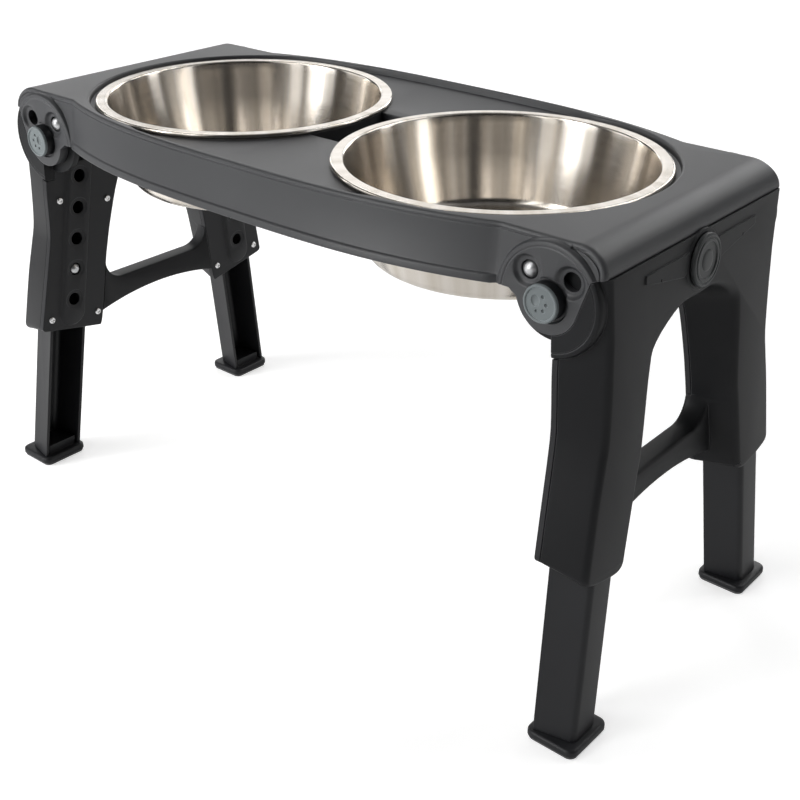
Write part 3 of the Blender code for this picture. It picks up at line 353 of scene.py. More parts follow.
def plastic(name, colour, edgeWearAndHighlightColour, roughness, grainSize, grainDepth, edgeRadius, specular):
    return groupMaterial(name, mouldedSurface,
                         {"Colour": (*colour, 1), "Edge Wear And Highlight Colour": (*edgeWearAndHighlightColour, 1), "Roughness": roughness,
                          "Grain Size": grainSize, "Grain Depth": grainDepth, "Edge Radius": edgeRadius},
                         {"Specular IOR Level": specular})[0]


def steel(name, colour, streakColour, roughness, centre=(0, 0, 0), anisotropic=0.0):
    material, tree, shader = groupMaterial(name, brushedRound,
                                           {"Centre": centre, "Colour": (*colour, 1),
                                            "Streak Colour": (*streakColour, 1), "Roughness": roughness},
                                           {"Metallic": 1.0, "Anisotropic": anisotropic})
    if anisotropic:
        shader.inputs["Anisotropic Rotation"].default_value = 0.25   # highlights run across the brush lines
        direction = shaderNode(tree, "Tangent", {}, direction_type="RADIAL", axis="Z")
        tree.links.new(direction.outputs["Tangent"], shader.inputs["Tangent"])
    return material


# The deck, frame and black finishes are one charcoal plastic in copies of different darkness, set to follow how light
# falls on each part: painted light on the deck's lighter copy, painted shade on the frame's darker copy
finishes = {
    "deck": plastic("deckCharcoalPaintedLight", (0.032, 0.033, 0.036), (0.13, 0.132, 0.14), 0.43, 0.00045, 0.30, 0.0009, 0.64),
    "frame": plastic("frameCharcoalPaintedShade", (0.0092, 0.0095, 0.0106), (0.085, 0.086, 0.09), 0.44, 0.00045, 0.26, 0.0009, 0.2),
    "black": plastic("blackMoulded", (0.0118, 0.0121, 0.0138), (0.05, 0.051, 0.055), 0.42, 0.0004, 0.2, 0.0007, 0.32),
    "grey": plastic("greyMoulded", (0.145, 0.165, 0.17), (0.5, 0.54, 0.55), 0.4, 0.0004, 0.14, 0.0004, 0.4),
    "badge": plastic("badgeGrey", (0.03, 0.033, 0.034), (0.30, 0.32, 0.33), 0.38, 0.0004, 0.14, 0.0004, 0.35),
    "rubber": plastic("soleRubber", (0.10, 0.10, 0.102), (0.14, 0.14, 0.14), 0.8, 0.0006, 0.5, 0.0005, 0.3),
    "pin": steel("pinSteel", (0.66, 0.67, 0.68), (0.58, 0.58, 0.58), 0.4),
    "screw": steel("screwSteel", (0.86, 0.86, 0.86), (0.8, 0.8, 0.8), 0.22),
    "spring": steel("springWire", (0.42, 0.42, 0.43), (0.35, 0.35, 0.35), 0.35),
}
print("finishes ready")


# Bowls: pressed steel with a rolled rim

bowl = {"centreX": 116.1, "rimRadius": 108.0, "rimWidth": 8.0, "baseRadius": 87.0, "depth": 63.0, "wall": 0.8,
        "corner": 8.0, "seat": 309.8, "rimHeight": 3.2, "steps": 160,
        "steel": (0.78, 0.735, 0.68), "streaks": (0.64, 0.585, 0.51), "roughness": 0.2, "anisotropic": 0.84}


def bowlProfile(b):
    top = b["seat"] + b["rimHeight"]
    base = top - b["depth"]
    inner = b["rimRadius"] - b["rimWidth"]
    bend = (b["baseRadius"] - b["corner"], base + b["corner"])
    line = [(0.0, base + b["wall"]), (b["baseRadius"] * 0.5, base + b["wall"])]
    line += arc(bend, b["corner"] - b["wall"], -90, -4, 9)
    line += [(inner - 5.2, top - 26.0), (inner - 1.6, top - 6.0)]
    line += arc((inner + 1.2, top - 2.2), 2.2, 172, 96, 6)           # soft turn from the wall to the flat rim
    line += [(inner + 2.4, top), (b["rimRadius"] - 2.2, top - 0.15)]
    line += arc((b["rimRadius"] - 1.7, top - 1.7), 1.6, 80, -60, 9)    # rolled edge
    line += [(b["rimRadius"] - 2.4, b["seat"] + 0.1), (inner + 3.0, b["seat"] + 0.1), (inner + 1.0, b["seat"] - 0.9)]
    line += [(inner - 4.4, top - 26.0)]
    line += arc(bend, b["corner"], -4, -90, 9)
    return line + [(b["baseRadius"] * 0.5, base), (0.0, base)]


for side, sign in sides.items():
    centre = (sign * bowl["centreX"], 0, 0)
    piece = turned("bowl", bowlProfile(bowl), centre, (0, 0, 1), bowl["steps"])
    shine = steel("bowlSteel" + side.capitalize(), bowl["steel"], bowl["streaks"], bowl["roughness"],
                  (sign * bowl["centreX"] * 0.001, 0, 0), bowl["anisotropic"])
    finishPiece(piece, "bowl_" + side + "_look", "bowl_" + side, ["bowl_" + side], shine, 40)
print("bowls ready")


# Deck: bowed apron, rolled ends, sunken tray, round ears with the lock holes

deck = {"top": 314.5, "apronBottom": 280.5, "halfLength": 258.0, "endHalfWidth": 99.7, "bowHalf": 188.0,
        "bowDepth": 23.2, "kinkStep": 0.4, "kinkLength": 2.2, "endDraft": 3.9, "draft": 4.0, "beadTop": 285.3,
        "beadProud": 1.8, "wall": 3.0, "endWall": 6.0, "roll": 20.0, "seam": 299.2, "trayTop": 309.5,
        "trayUnder": 306.5, "lip": 4.0, "lipBlend": (95.0, 120.0), "saddleHalf": 36.0, "saddleDepth": 20.0,
        "saddleWall": 2.6, "recess": 111.5, "hole": 104.0, "edge": 2.0, "grooveZ": 311.6, "grooveDepth": 0.6,
        "cornerRadius": 0.4, "rollEdge": 3.2}
ear = {"pivot": (224.2, 279.6), "radius": 34.0, "draft": 1.5, "faceY": 104.0, "lobe": 19.5, "rootAngle": 190.0,
       "flat": 6.0, "corner": (250.5, 297.0), "lockRadius": 19.4, "lockAngles": (135.0, 45.0), "dish": 9.6,
       "dishDepth": 2.4, "skin": 0.8, "domeProud": 1.9, "pinHole": 5.5, "track": 5.8, "bore": 5.3, "capRecess": 13.0,
       "capRecessDepth": 2.4, "gap": 0.3, "knuckle": 26.0, "knuckleFaceY": 96.4, "knuckleThick": 5.7,
       "webGap": 7.0, "boss": 7.0, "bossReach": 11.7, "pocket": 5.8, "pocketReach": 10.5}


def bowHalfWidth(x):
    return deck["endHalfWidth"] + deck["kinkStep"] + deck["bowDepth"] * (1 - abs(x / deck["bowHalf"]) ** 3)


def deckPlan(spread, inset, end, corner=0.0, endSpread=0.0, steps=40):
    side = []
    for index in range(-steps, steps + 1):
        x = deck["bowHalf"] * index / steps
        side.append((x, bowHalfWidth(x) + spread - inset))
    kinkX, endY = deck["bowHalf"] + deck["kinkLength"], deck["endHalfWidth"] + endSpread - inset
    close = arc((end - corner, endY - corner), corner, 90, 0, 6) if corner else [(end, endY)]
    side = side + [(kinkX, endY), *close]
    side = [(-x, y) for x, y in reversed(side[2 * steps + 1:])] + side
    return side + [(-x, -y) for x, y in side]


def deckRing(z, spread, inset=0.0, end=None, corner=0.0, endSpread=0.0):
    return [(x, y, z) for x, y in deckPlan(spread, inset, end or deck["halfLength"], corner, endSpread)]


def splitTangent():
    reach = math.dist(ear["corner"], ear["pivot"])
    bearing = math.atan2(ear["corner"][1] - ear["pivot"][1], ear["corner"][0] - ear["pivot"][0])
    return math.degrees(bearing - math.acos(ear["lobe"] / reach))


# Lower edge of the deck's side at one end: flat, lobe round the pivot and the slanting split line
def cheekOutline(grow=0.0):
    lobe = arc(ear["pivot"], ear["lobe"] + grow, ear["rootAngle"], 360 + splitTangent(), 40)
    low = deck["apronBottom"] - grow
    return [(deck["bowHalf"] - ear["flat"], low), (lobe[0][0] - ear["flat"], low), *lobe,
            (ear["corner"][0] + grow, ear["corner"][1] - grow)]


def rollOutline():
    height = deck["top"] - deck["seam"]
    return [(deck["halfLength"] - deck["roll"] + deck["roll"] * math.cos(math.radians(turn)),
             deck["seam"] + height * math.sin(math.radians(turn))) for turn in range(0, 91, 5)]


def trayOutline():
    upper = []
    for index in range(-40, 41):
        x = deck["lipBlend"][1] * index / 40
        circle = 0.0
        if abs(x) > deck["lipBlend"][0]:
            circle = math.sqrt(deck["recess"] ** 2 - (abs(x) - bowl["centreX"]) ** 2)
        share = min(max((abs(x) - deck["lipBlend"][0]) / (deck["lipBlend"][1] - deck["lipBlend"][0]), 0.0), 1.0)
        share = share * share * (3 - 2 * share)
        upper.append((x, (bowHalfWidth(x) - deck["lip"]) * (1 - share) + circle * share))
    start = math.degrees(math.acos((deck["lipBlend"][1] - bowl["centreX"]) / deck["recess"]))
    right = arc((bowl["centreX"], 0.0), deck["recess"], start, -start, 90)[1:-1]
    return upper + right + [(-x, -y) for x, y in upper] + [(-x, -y) for x, y in right]


# Round ear with a soft rim and a fine ring just inside it
def earProfile(startY):
    e = ear
    face = e["radius"] - e["draft"]
    return [(0.0, startY), (e["radius"], startY), (e["radius"], e["faceY"] - 2.6), (face + 0.8, e["faceY"] - 1.1),
            (face + 0.2, e["faceY"] - 0.35), (face - 0.7, e["faceY"]), (face - 1.9, e["faceY"]),
            (face - 2.1, e["faceY"] - 0.35), (face - 2.6, e["faceY"] - 0.35), (face - 2.9, e["faceY"]),
            (0.0, e["faceY"])]


def earSolid(startY, steps=112):
    x, z = ear["pivot"]
    return turned("earDisc", [(radius, along - startY) for radius, along in earProfile(startY)],
                  (x, startY, z), (0, 1, 0), steps)


def lockPlace(angle):
    turn = math.radians(angle)
    return ear["pivot"][0] + ear["lockRadius"] * math.cos(turn), ear["pivot"][1] + ear["lockRadius"] * math.sin(turn)


def trackOutline():
    inner, outer = ear["lockRadius"] - ear["track"], ear["lockRadius"] + ear["track"]
    line = arc(ear["pivot"], outer, 45, 135, 24)
    line += arc(lockPlace(135), ear["track"], 135, 315, 14)[1:-1]
    line += arc(ear["pivot"], inner, 135, 45, 20)
    return line + arc(lockPlace(45), ear["track"], 225, 405, 14)[1:-1]


def earCutters():
    e = ear
    low, face = e["knuckleFaceY"] - 1.0, e["faceY"]
    pieces = [prism("track", trackOutline(), low, face - e["dishDepth"] - e["skin"], "XZ")]
    for angle in e["lockAngles"]:
        x, z = lockPlace(angle)
        dish = [(0.0, low), (e["pinHole"], low), (e["pinHole"], face - e["dishDepth"] - 0.35),
                (e["pinHole"] + 0.3, face - e["dishDepth"]), (e["dish"] - 2.4, face - e["dishDepth"]),
                (e["dish"] - 1.7, face - e["dishDepth"] + 0.3), (e["dish"] - 1.2, face - e["dishDepth"] + 0.9),
                (e["dish"] - 0.5, face - 0.7), (e["dish"] - 0.05, face - 0.2), (e["dish"] + 0.6, face),
                (e["dish"] + 0.7, face + 1.0), (0.0, face + 1.0)]
        pieces.append(turned("dish", [(r, y - low) for r, y in dish], (x, low, z), (0, 1, 0), 64))
    x, z = e["pivot"]
    recess = [(0.0, low), (e["bore"], low), (e["bore"], face - e["capRecessDepth"]),
              (e["capRecess"] - 0.6, face - e["capRecessDepth"]), (e["capRecess"], face - e["capRecessDepth"] + 0.6),
              (e["capRecess"], face - 0.4), (e["capRecess"] + 0.5, face), (e["capRecess"] + 0.6, face + 1.0),
              (0.0, face + 1.0)]
    pieces.append(turned("recess", [(r, y - low) for r, y in recess], (x, low, z), (0, 1, 0), 72))
    return pieces


# Cutter that follows the rolled end; outline points are (out of the roll, out of the deck's side)
def rollSweep(name, outlines):
    d = deck
    height = d["top"] - d["seam"]
    slope = d["draft"] / (d["top"] - d["apronBottom"])
    stations = [(d["halfLength"] - d["roll"] - 3, d["top"], 0.0, 1.0)]
    for turn in range(90, -1, -6):
        c, s = math.cos(math.radians(turn)), math.sin(math.radians(turn))
        size = math.hypot(c / d["roll"], s / height)
        stations.append((d["halfLength"] - d["roll"] + d["roll"] * c, d["seam"] + height * s,
                         c / d["roll"] / size, s / height / size))
    stations.append((d["halfLength"], d["seam"] - 1.5, 1.0, 0.0))
    rings = []
    for index, (x, z, outX, outZ) in enumerate(stations):
        sideY = d["endHalfWidth"] + slope * (d["top"] - z)
        rings.append([(x + out * outX, sideY + aside, z + out * outZ)
                      for out, aside in outlines(min(1.0, index / 7))])
    return loft(name, rings)


def rollRounding(share):
    r = deck["edge"] + (deck["rollEdge"] - deck["edge"]) * share
    return arc((-r, -r), r, -8, 98, 8) + [(-r - 0.4, 1.8), (1.5, 1.8), (1.5, -r - 0.4)]


def rollGroove(share):
    line, depth = deck["top"] - deck["grooveZ"] + 0.9 * share, deck["grooveDepth"]
    return [(-line + 0.25, 1.8), (-line - 0.45, 1.8), (-line - 0.45, -depth), (-line + 0.25, -depth)]


def rollCutters():
    return [rollSweep("rollEdge", rollRounding), rollSweep("rollGroove", rollGroove)]


def fourCopies(item):
    copies = [mirroredCopy(item, signX, signY) for signX in sides.values() for signY in ends.values()]
    bpy.data.objects.remove(item, do_unlink=True)
    return copies


# Finger recess between the bowls: a trough with a soft mouth and a thin wall to each bowl
def saddleCutter(low):
    half, rim, radius = deck["saddleHalf"], deck["trayTop"], deck["hole"] + deck["saddleWall"]
    rings = []
    for z, grow in ((low, -3.0), (low + 0.9, -0.9), (low + 3.0, 0.0), (rim - 1.2, 0.0), (rim - 0.35, 0.3),
                    (rim + 0.05, 1.2), (rim + 2, 1.4)):
        across = [(half + grow) * step / 12 for step in range(-12, 13)]
        side = [(bowl["centreX"] - math.sqrt(radius ** 2 - y * y) + min(grow, 0), y) for y in across]
        rings.append([(x, y, z) for x, y in side + [(-x, y) for x, y in reversed(side)]])
    return loft("saddle", rings)


def makeDeck():
    d = deck
    slope = d["draft"] / (d["top"] - d["apronBottom"])

    def spread(z):
        return slope * (d["top"] - z)

    low = ear["pivot"][1] - ear["lobe"] - 5
    levels = [(low, d["beadProud"], 0.0), (d["beadTop"] - 1.2, d["beadProud"], 0.0), (d["beadTop"] - 0.5, 1.5, 0.0),
              (d["beadTop"] - 0.1, 0.9, 0.0), (d["beadTop"] + 0.3, 0.25, 0.0), (d["beadTop"] + 1.0, 0.0, 0.0),
              (d["grooveZ"] - 0.7, 0.0, 0.0), (d["grooveZ"] - 0.45, 0.0, d["grooveDepth"]),
              (d["grooveZ"] + 0.25, 0.0, d["grooveDepth"]), (d["grooveZ"] + 0.5, 0.0, 0.0)]
    for turn in range(0, 91, 18):
        a = math.radians(turn)
        levels.append((d["top"] - d["edge"] * (1 - math.sin(a)), 0.0, d["edge"] * (1 - math.cos(a))))
    rings = [deckRing(z, spread(z) + proud, inset, d["halfLength"] - 0.01, d["cornerRadius"],
                      min(spread(z), d["endDraft"]))
             for z, proud, inset in levels]
    body = loft("deck", rings)
    body = join(body, *fourCopies(earSolid(d["endHalfWidth"] - 13)))
    half = cheekOutline() + rollOutline()
    outline = half + [(-x, z) for x, z in reversed(half)]
    body = change(body, [prism("profile", outline, -200, 200, "XZ")], "INTERSECT")
    endX, innerY = d["halfLength"] - d["endWall"], d["endHalfWidth"] - d["wall"]
    body = cut(body, loft("hollow", [deckRing(z, spread(z), d["wall"], endX) for z in (low - 5, d["trayUnder"])]))
    saddleY = d["saddleHalf"] + d["wall"]
    reach = bowl["centreX"] - math.sqrt(d["hole"] ** 2 - saddleY ** 2) + 2
    saddleTop = d["trayTop"] - d["saddleDepth"]
    tub = [(-reach, -saddleY), (reach, -saddleY), (reach, saddleY), (-reach, saddleY)]
    body = join(body, prism("saddle", tub, saddleTop - 3, d["trayUnder"] + 1.5))
    tray = trayOutline()
    flare = [(d["trayTop"], -0.7), (d["trayTop"] + 0.25, -0.2), (d["trayTop"] + 0.8, 0.0), (d["top"] - 1.5, 0.0),
             (d["top"] - 0.6, 0.3), (d["top"], 1.1), (d["top"] + 1, 1.6)]
    body = cut(body, loft("tray", [[(x, y, z) for x, y in grown(tray, grow)] for z, grow in flare]))
    for sign in sides.values():
        hole = arc((sign * bowl["centreX"], 0), d["hole"], 0, 357.5, 143)
        body = cut(body, prism("hole", hole, saddleTop - 4, d["top"]))
        low_, high_ = sorted((sign * (endX - 1), sign * (d["halfLength"] + 1)))
        body = cut(body, prism("end", [(low_, -innerY), (high_, -innerY), (high_, innerY), (low_, innerY)],
                               low, d["seam"]))
    body = cut(body, saddleCutter(saddleTop))
    for cutter in earCutters() + rollCutters():
        body = cut(body, *fourCopies(cutter))
    return body


finishPiece(makeDeck(), "deck_look", "deck", ["deck"], finishes["deck"], 30)
print("deck ready")


# End frames: leaning shell with two housings, arch, crossbar, badge ring, raised bars, ear and knuckle

shell = {"lean": 0.0617, "outer": 278.0, "inner": 244.6, "plate": 4.0, "top": 298.9, "corner": 4.2, "inset": 3.4,
         "panel": 3.4, "panelBottom": 262.5, "sideInner": 92.7, "barDepth": 15.4, "barTop": 148.0, "barBottom": 131.0,
         "barSag": 9.0, "barFillet": 17.0, "barFlare": 3.4, "barHalf": 64.0, "barInside": 53.5, "badgeZ": 282.0,
         "ring": 18.0, "ringHeight": 0.8, "wingHeight": 0.9, "peg": 3.25}
archInner = [(0, 257.5), (14, 255), (27, 246), (36.9, 231), (46.5, 199), (50.8, 180), (53.5, 166), (60.3, 122),
             (63.2, 111.5)]
archOuter = [(0, 259.5), (22, 258.9), (47, 245.5), (52.2, 231), (55.4, 199), (57.6, 180), (61, 166), (70.5, 122),
             (72, 114)]
bottomInner = [(68, 112.6), (83, 115.8), (110, 121.8)]
bottomOuter = [(75, 109.5), (83, 108), (109, 113.5)]
frontInner = [(119.6, 123.9), (111.5, 163), (106.5, 187), (103.8, 205), (103.6, 234), (103, 247), (101.5, 262)]
frontOuter = [(115, 118.4), (106.7, 163), (101, 187), (97.2, 205), (96, 234), (96, 247), (96, 262)]
wingOutline = [(17, 291), (63.4, 291), (64, 290.3), (64, 286.1), (63.4, 285.6), (48.4, 282.7), (48.4, 284.6),
               (47.4, 284.6),
               (47.4, 282.5), (22, 277.4), (19, 279.5)]
leg = {"y": 109.5, "splay": 0.145, "halfDepth": 13.3, "x": 262.6, "halfOuter": 12.3, "halfInner": 17.2, "corner": 4.0,
       "wall": 2.4, "clear": 0.4, "top": 192.0, "tongue": 150.0, "bottom": 7.4, "pinZ": 169.0, "pitch": 25.4,
       "headroom": 0.8, "mouth": 4.4, "block": 11.0, "pocket": 5.8, "pocketReach": 15.8}
plate = {"top": 262.0, "thick": 4.0, "proud": 2.5, "half": 11.0, "skin": 1.2, "columnTop": 257.0, "margin": 22.0,
         "hole": 4.9, "ringWidth": 3.3}
leg["drop"] = leg["pitch"] / math.sqrt(1 + shell["lean"] ** 2 + leg["splay"] ** 2)
leg["rise"] = 3 * leg["drop"]


# One half outline, arch top to panel top, with smooth runs and soft lower corners
def frameHalf(arch, bottom, front):
    archLine, frontLine = throughPoints(arch), throughPoints(front)
    lower = softCorners([archLine[-2], archLine[-1], *bottom, frontLine[0], frontLine[1]])
    return archLine[:-2] + lower + frontLine[2:] + [(deck["endHalfWidth"] - ear["gap"], shell["top"])]


def frameRing(half, offset, inset=0.0):
    ring = [(-y, z) for y, z in half] + [(y, z) for y, z in reversed(half[1:])]
    if inset:
        moved = grown(ring, -inset)
        ring = [(y, min(z, shell["top"])) if old[1] < shell["top"] else (y, shell["top"])
                for (y, z), old in zip(moved, ring)]
    return [(offset - shell["lean"] * z, y, z) for y, z in ring]


def frameShell():
    s = shell
    start, finish = s["inner"] + s["plate"] + 0.3, s["outer"]
    inner, outer = frameHalf(archInner, bottomInner, frontInner), frameHalf(archOuter, bottomOuter, frontOuter)

    def between(offset):
        share = (offset - start) / (finish - start)
        return [tuple(a * (1 - share) + b * share for a, b in zip(one, two)) for one, two in zip(inner, outer)]

    rings = [frameRing(between(start), start, 0.35), frameRing(between(start + 0.4), start + 0.4)]
    for turn in range(0, 91, 15):
        a = math.radians(turn)
        offset = finish - s["corner"] * (1 - math.sin(a))
        rings.append(frameRing(between(offset), offset, s["inset"] * (1 - math.cos(a))))
    body = loft("frame", rings)
    cavity = [(0, -s["sideInner"]), (s["outer"] - s["panel"], -s["sideInner"]),
              (s["outer"] - s["panel"], s["sideInner"]), (0, s["sideInner"])]
    return cut(body, leaned(prism("cavity", cavity, s["panelBottom"], 400), s["lean"]))


# Outline of a cover plate: arch side, lower end and front side of one housing
def plateLine():
    archLine, frontLine = throughPoints(archInner)[12:], throughPoints(frontInner)
    lower = softCorners([archLine[-2], archLine[-1], *bottomInner, frontLine[0], frontLine[1]])
    top = [(frontLine[-1][0], plate["top"]), (archLine[0][0] - 8, plate["top"]),
           (archLine[0][0] - 8, plate["top"] - 10)]
    return archLine[:-2] + lower + frontLine[2:] + top


def crossbar():
    s = shell
    low = [(s["barHalf"] * i / 16, s["barBottom"] - s["barSag"] * (i / 16) ** 2) for i in range(-16, 17)]
    rise = s["barTop"] + s["barFillet"]
    rings = []
    for share, inset in ((0, 1.2), (0.02, 0.6), (0.06, 0.15), (0.12, 0), (0.3, 0), (0.86, 0), (0.93, 0.3), (0.98, 1.1),
                         (1, 2.2)):
        inside = s["barInside"] + s["barFlare"] * max(0.0, share - 0.3) / 0.7
        right = arc((inside - s["barFillet"], rise), s["barFillet"], 0, -90, 12)
        line = low + [(s["barHalf"], rise), *right, *[(-y, z) for y, z in reversed(right)], (-s["barHalf"], rise)]
        x = s["inner"] + s["barDepth"] * share
        rings.append([(x, y, z) for y, z in grown(line, -inset)])
    bar = loft("bar", rings)
    for sign in ends.values():
        behind = [(y * sign, z) for y, z in grown(plateLine(), 0.25)]
        bar = cut(bar, prism("behind", behind, s["inner"] - 1, s["inner"] + s["plate"] + 0.4, "YZ"))
    return leaned(bar, s["lean"])


def legRing(inner, outer, grow, mouth, z):
    near, far, corner = leg["x"] - leg["halfDepth"], leg["x"] + leg["halfDepth"] + grow, leg["corner"]
    top = arc((far - corner, leg["y"] + outer + grow - corner), corner, 90, 0, 8)
    bottom = [(x, 2 * leg["y"] - y) for x, y in reversed(top)]
    side = [(near - mouth, leg["y"] + inner + grow)]
    if mouth > 0:
        side.append((near, leg["y"] + inner + grow))
    ring = top + bottom + [(x, 2 * leg["y"] - y) for x, y in reversed(side)] + side
    return [(x, y, z) for x, y in ring]


def legBar(inner, outer, low, high, grow=0.0, mouth=0.0):
    rings = [legRing(inner, outer, grow, mouth, z) for z in (low, high)]
    return leaned(loft("leg", rings), shell["lean"], leg["splay"])


def splitSolid(low):
    line = cheekOutline(ear["gap"])
    line += [(deck["halfLength"] + 0.3, deck["seam"] - 0.3), (shell["outer"], deck["seam"] + 0.3),
             (shell["outer"], 400),
             (deck["bowHalf"] - ear["flat"], 400)]
    return prism("split", line, low, 400, "XZ")


def frameEar():
    low = ear["knuckleFaceY"] - 1
    inner = leaned(prism("inner", [(0, low - 1), (shell["inner"], low - 1), (shell["inner"], 400), (0, 400)], 0, 400),
                   shell["lean"])
    return cut(earSolid(low), inner, splitSolid(low - 1))


def knuckle():
    e = ear
    back, face = e["knuckleFaceY"] - e["knuckleThick"], e["knuckleFaceY"]
    x, z = e["pivot"]
    lug = turned("lug", [(0, 0), (e["knuckle"] - 0.6, 0), (e["knuckle"], 0.6), (e["knuckle"], face - back),
                         (0, face - back)],
                 (x, back, z), (0, 1, 0))
    start, stop = shell["inner"] + shell["plate"] + 0.3, shell["outer"] - e["webGap"]
    web = leaned(prism("web", [(start, back), (stop, back), (stop, face), (start, face)],
                       z - e["radius"], z), shell["lean"])
    lockX, lockZ = lockPlace(135)
    boss = turned("boss", [(0, 0), (e["boss"] - 0.6, 0), (e["boss"], 0.6), (e["boss"], 7), (0, 7)],
                  (lockX, face - e["bossReach"], lockZ), (0, 1, 0), 48)
    return join(lug, web, boss)


def knuckleCutters():
    e = ear
    x, z = e["pivot"]
    lockX, lockZ = lockPlace(135)
    back, face = e["knuckleFaceY"] - e["knuckleThick"], e["knuckleFaceY"]
    bore = turned("bore", [(0, 0), (e["bore"], 0), (e["bore"], 12), (0, 12)], (x, back - 1, z), (0, 1, 0), 48)
    pocket = turned("pocket", [(0, 0), (e["pocket"], 0), (e["pocket"], 12), (0, 12)],
                    (lockX, face - e["pocketReach"], lockZ), (0, 1, 0), 48)
    return [bore, pocket]


def ringAndBars():
    s = shell
    low = s["outer"] - 1
    high = s["outer"] + s["ringHeight"]
    pieces = [turned("ring", [(0, 0), (s["ring"] + 0.4, 0), (s["ring"] + 0.2, high - low - 0.4),
                              (s["ring"] - 0.4, high - low),
                              (0, high - low)], (low, 0, s["badgeZ"]), (1, 0, 0))]
    for sign in ends.values():
        outline = [(y * sign, z) for y, z in wingOutline]
        wing = [[(x, y, z) for y, z in grown(outline, -inset)]
                for x, inset in ((low, 0), (s["outer"] + s["wingHeight"] - 0.15, 0),
                                 (s["outer"] + s["wingHeight"], 0.15))]
        pieces.append(loft("wing", wing))
    return [leaned(piece, s["lean"]) for piece in pieces]


# Beside the leg's line, and height
screwPlaces = [(16.5, 228.1), (-29.0, 218.8), (19.8, 131.8), (-25.5, 124.8)]


def screwCentres():
    return [(leg["y"] - leg["splay"] * z + beside, z) for beside, z in screwPlaces]


def holeCentres():
    heights = [leg["pinZ"] + (3 - index) * leg["drop"] for index in range(5)]
    return [(leg["y"] - leg["splay"] * z, z) for z in heights]


def makeFrame():
    s = shell
    corner = join(knuckle(), frameEar())
    body = join(frameShell(), crossbar(), mirroredCopy(corner, 1, 1), mirroredCopy(corner, 1, -1), *ringAndBars())
    bpy.data.objects.remove(corner, do_unlink=True)
    room = leg["rise"] + leg["headroom"]
    wideEnd, pocketEnd = leg["tongue"] + room, leg["top"] + room
    cutters = [splitSolid(ear["knuckleFaceY"]),
               legBar(leg["halfInner"], leg["halfOuter"], 0, wideEnd, leg["clear"], leg["mouth"]),
               legBar(leg["halfOuter"], leg["halfOuter"], wideEnd - 1, pocketEnd, leg["clear"], leg["mouth"]),
               *knuckleCutters()]
    for cutter in cutters:
        body = cut(body, mirroredCopy(cutter, 1, 1), mirroredCopy(cutter, 1, -1))
        bpy.data.objects.remove(cutter, do_unlink=True)
    peg = turned("peg", [(0, 0), (s["peg"], 0), (s["peg"], 14), (0, 14)], (s["outer"] - 7, 0, s["badgeZ"]), (1, 0, 0),
                 32)
    return cut(body, leaned(peg, s["lean"]))


atEnds(makeFrame(), "end_frame", finishes["frame"], 30)
print("end frames ready")


# Badges: plain stepped discs

badge = {"radius": 16.0, "thick": 3.0, "start": 279.1}
r, t = badge["radius"], badge["thick"]
profile = [(0, -6.5), (3.0, -6.5), (3.0, 0), (r - 0.3, 0), (r, 0.3), (r, 1.6), (r - 0.3, 2.3), (r - 1.0, t - 0.25),
           (r - 1.8, t - 0.25), (r - 2.2, 2.3), (r - 3.0, 2.3), (r - 3.4, t - 0.1), (r - 4.2, t), (r - 5.0, t - 0.1),
           (r - 5.4, 2.2), (6.6, 2.2), (6.2, 2.5), (5.4, t - 0.25), (4.0, t - 0.1), (2.0, t), (0, t)]
disc = turned("badge", profile, (badge["start"], 0, shell["badgeZ"]), (1, 0, 0), 96)
atEnds(leaned(disc, shell["lean"]), "badge", finishes["badge"])
print("badges ready")


# Cover plates with the raised column of height holes


def columnOutline(half, margin, steps=20):
    lowY, lowZ = holeCentres()[-1]
    bottom = (lowY + leg["splay"] * (margin - half), lowZ - margin + half)
    topY = leg["y"] - leg["splay"] * plate["columnTop"]
    return arc(bottom, half, 180, 360, steps) + [(topY + half, plate["columnTop"]), (topY - half, plate["columnTop"])]


def makePlate():
    s, p = shell, plate
    line = plateLine()
    rings = [[(s["inner"] + x, y, z) for y, z in grown(line, -inset)]
             for x, inset in ((0, 0.6), (0.25, 0.2), (0.6, 0), (p["thick"], 0))]
    body = loft("plate", rings)
    column = columnOutline(p["half"], p["margin"])
    face = s["inner"] - p["proud"]
    raised = [[(x, y, z) for y, z in grown(column, grow)]
              for x, grow in ((face, -1.1), (face + 0.25, -0.5), (face + 0.7, -0.1), (face + 1.6, 0.2),
                              (s["inner"] - 0.4, 0.6),
                              (s["inner"], 1.3), (s["inner"] + 1, 1.3))]
    body = join(body, loft("column", raised))
    track = columnOutline(ear["track"], ear["track"] + 1)
    body = cut(body, prism("track", track, face + p["skin"], s["inner"] + p["thick"] + 1, "YZ"))
    body = leaned(body, s["lean"])
    for y, z in holeCentres():
        start = face - s["lean"] * z
        ring = p["hole"] + p["ringWidth"]
        hole = [(0, -1), (ring, -1), (ring, 0.0), (ring - 0.3, 0.4), (ring - 0.9, 0.55), (p["hole"] + 1.0, 0.6),
                (p["hole"] + 0.3, 0.7), (p["hole"], 1.0), (p["hole"], 6.5), (0, 6.5)]
        body = cut(body, turned("hole", hole, (start, y, z), (1, 0, 0), 48))
    for y, z in screwCentres():
        start = s["inner"] - s["lean"] * z
        body = cut(body, turned("screwHole", [(0, -1), (1.5, -1), (1.5, 6), (0, 6)], (start, y, z), (1, 0, 0), 16))
    x, z = ear["pivot"]
    back = ear["knuckleFaceY"] - ear["knuckleThick"]
    for start, radius in ((back - 0.3, ear["knuckle"] + 0.8), (ear["knuckleFaceY"] - 1.3, ear["radius"] + 0.3)):
        body = cut(body, turned("gap", [(0, 0), (radius, 0), (radius, 300), (0, 300)], (x, start, z), (0, 1, 0), 96))
    return body


atCorners(makePlate(), "plate", finishes["black"], "frame_{side}", 28)
print("plates ready")


# Plate screws: pan heads with a cross recess

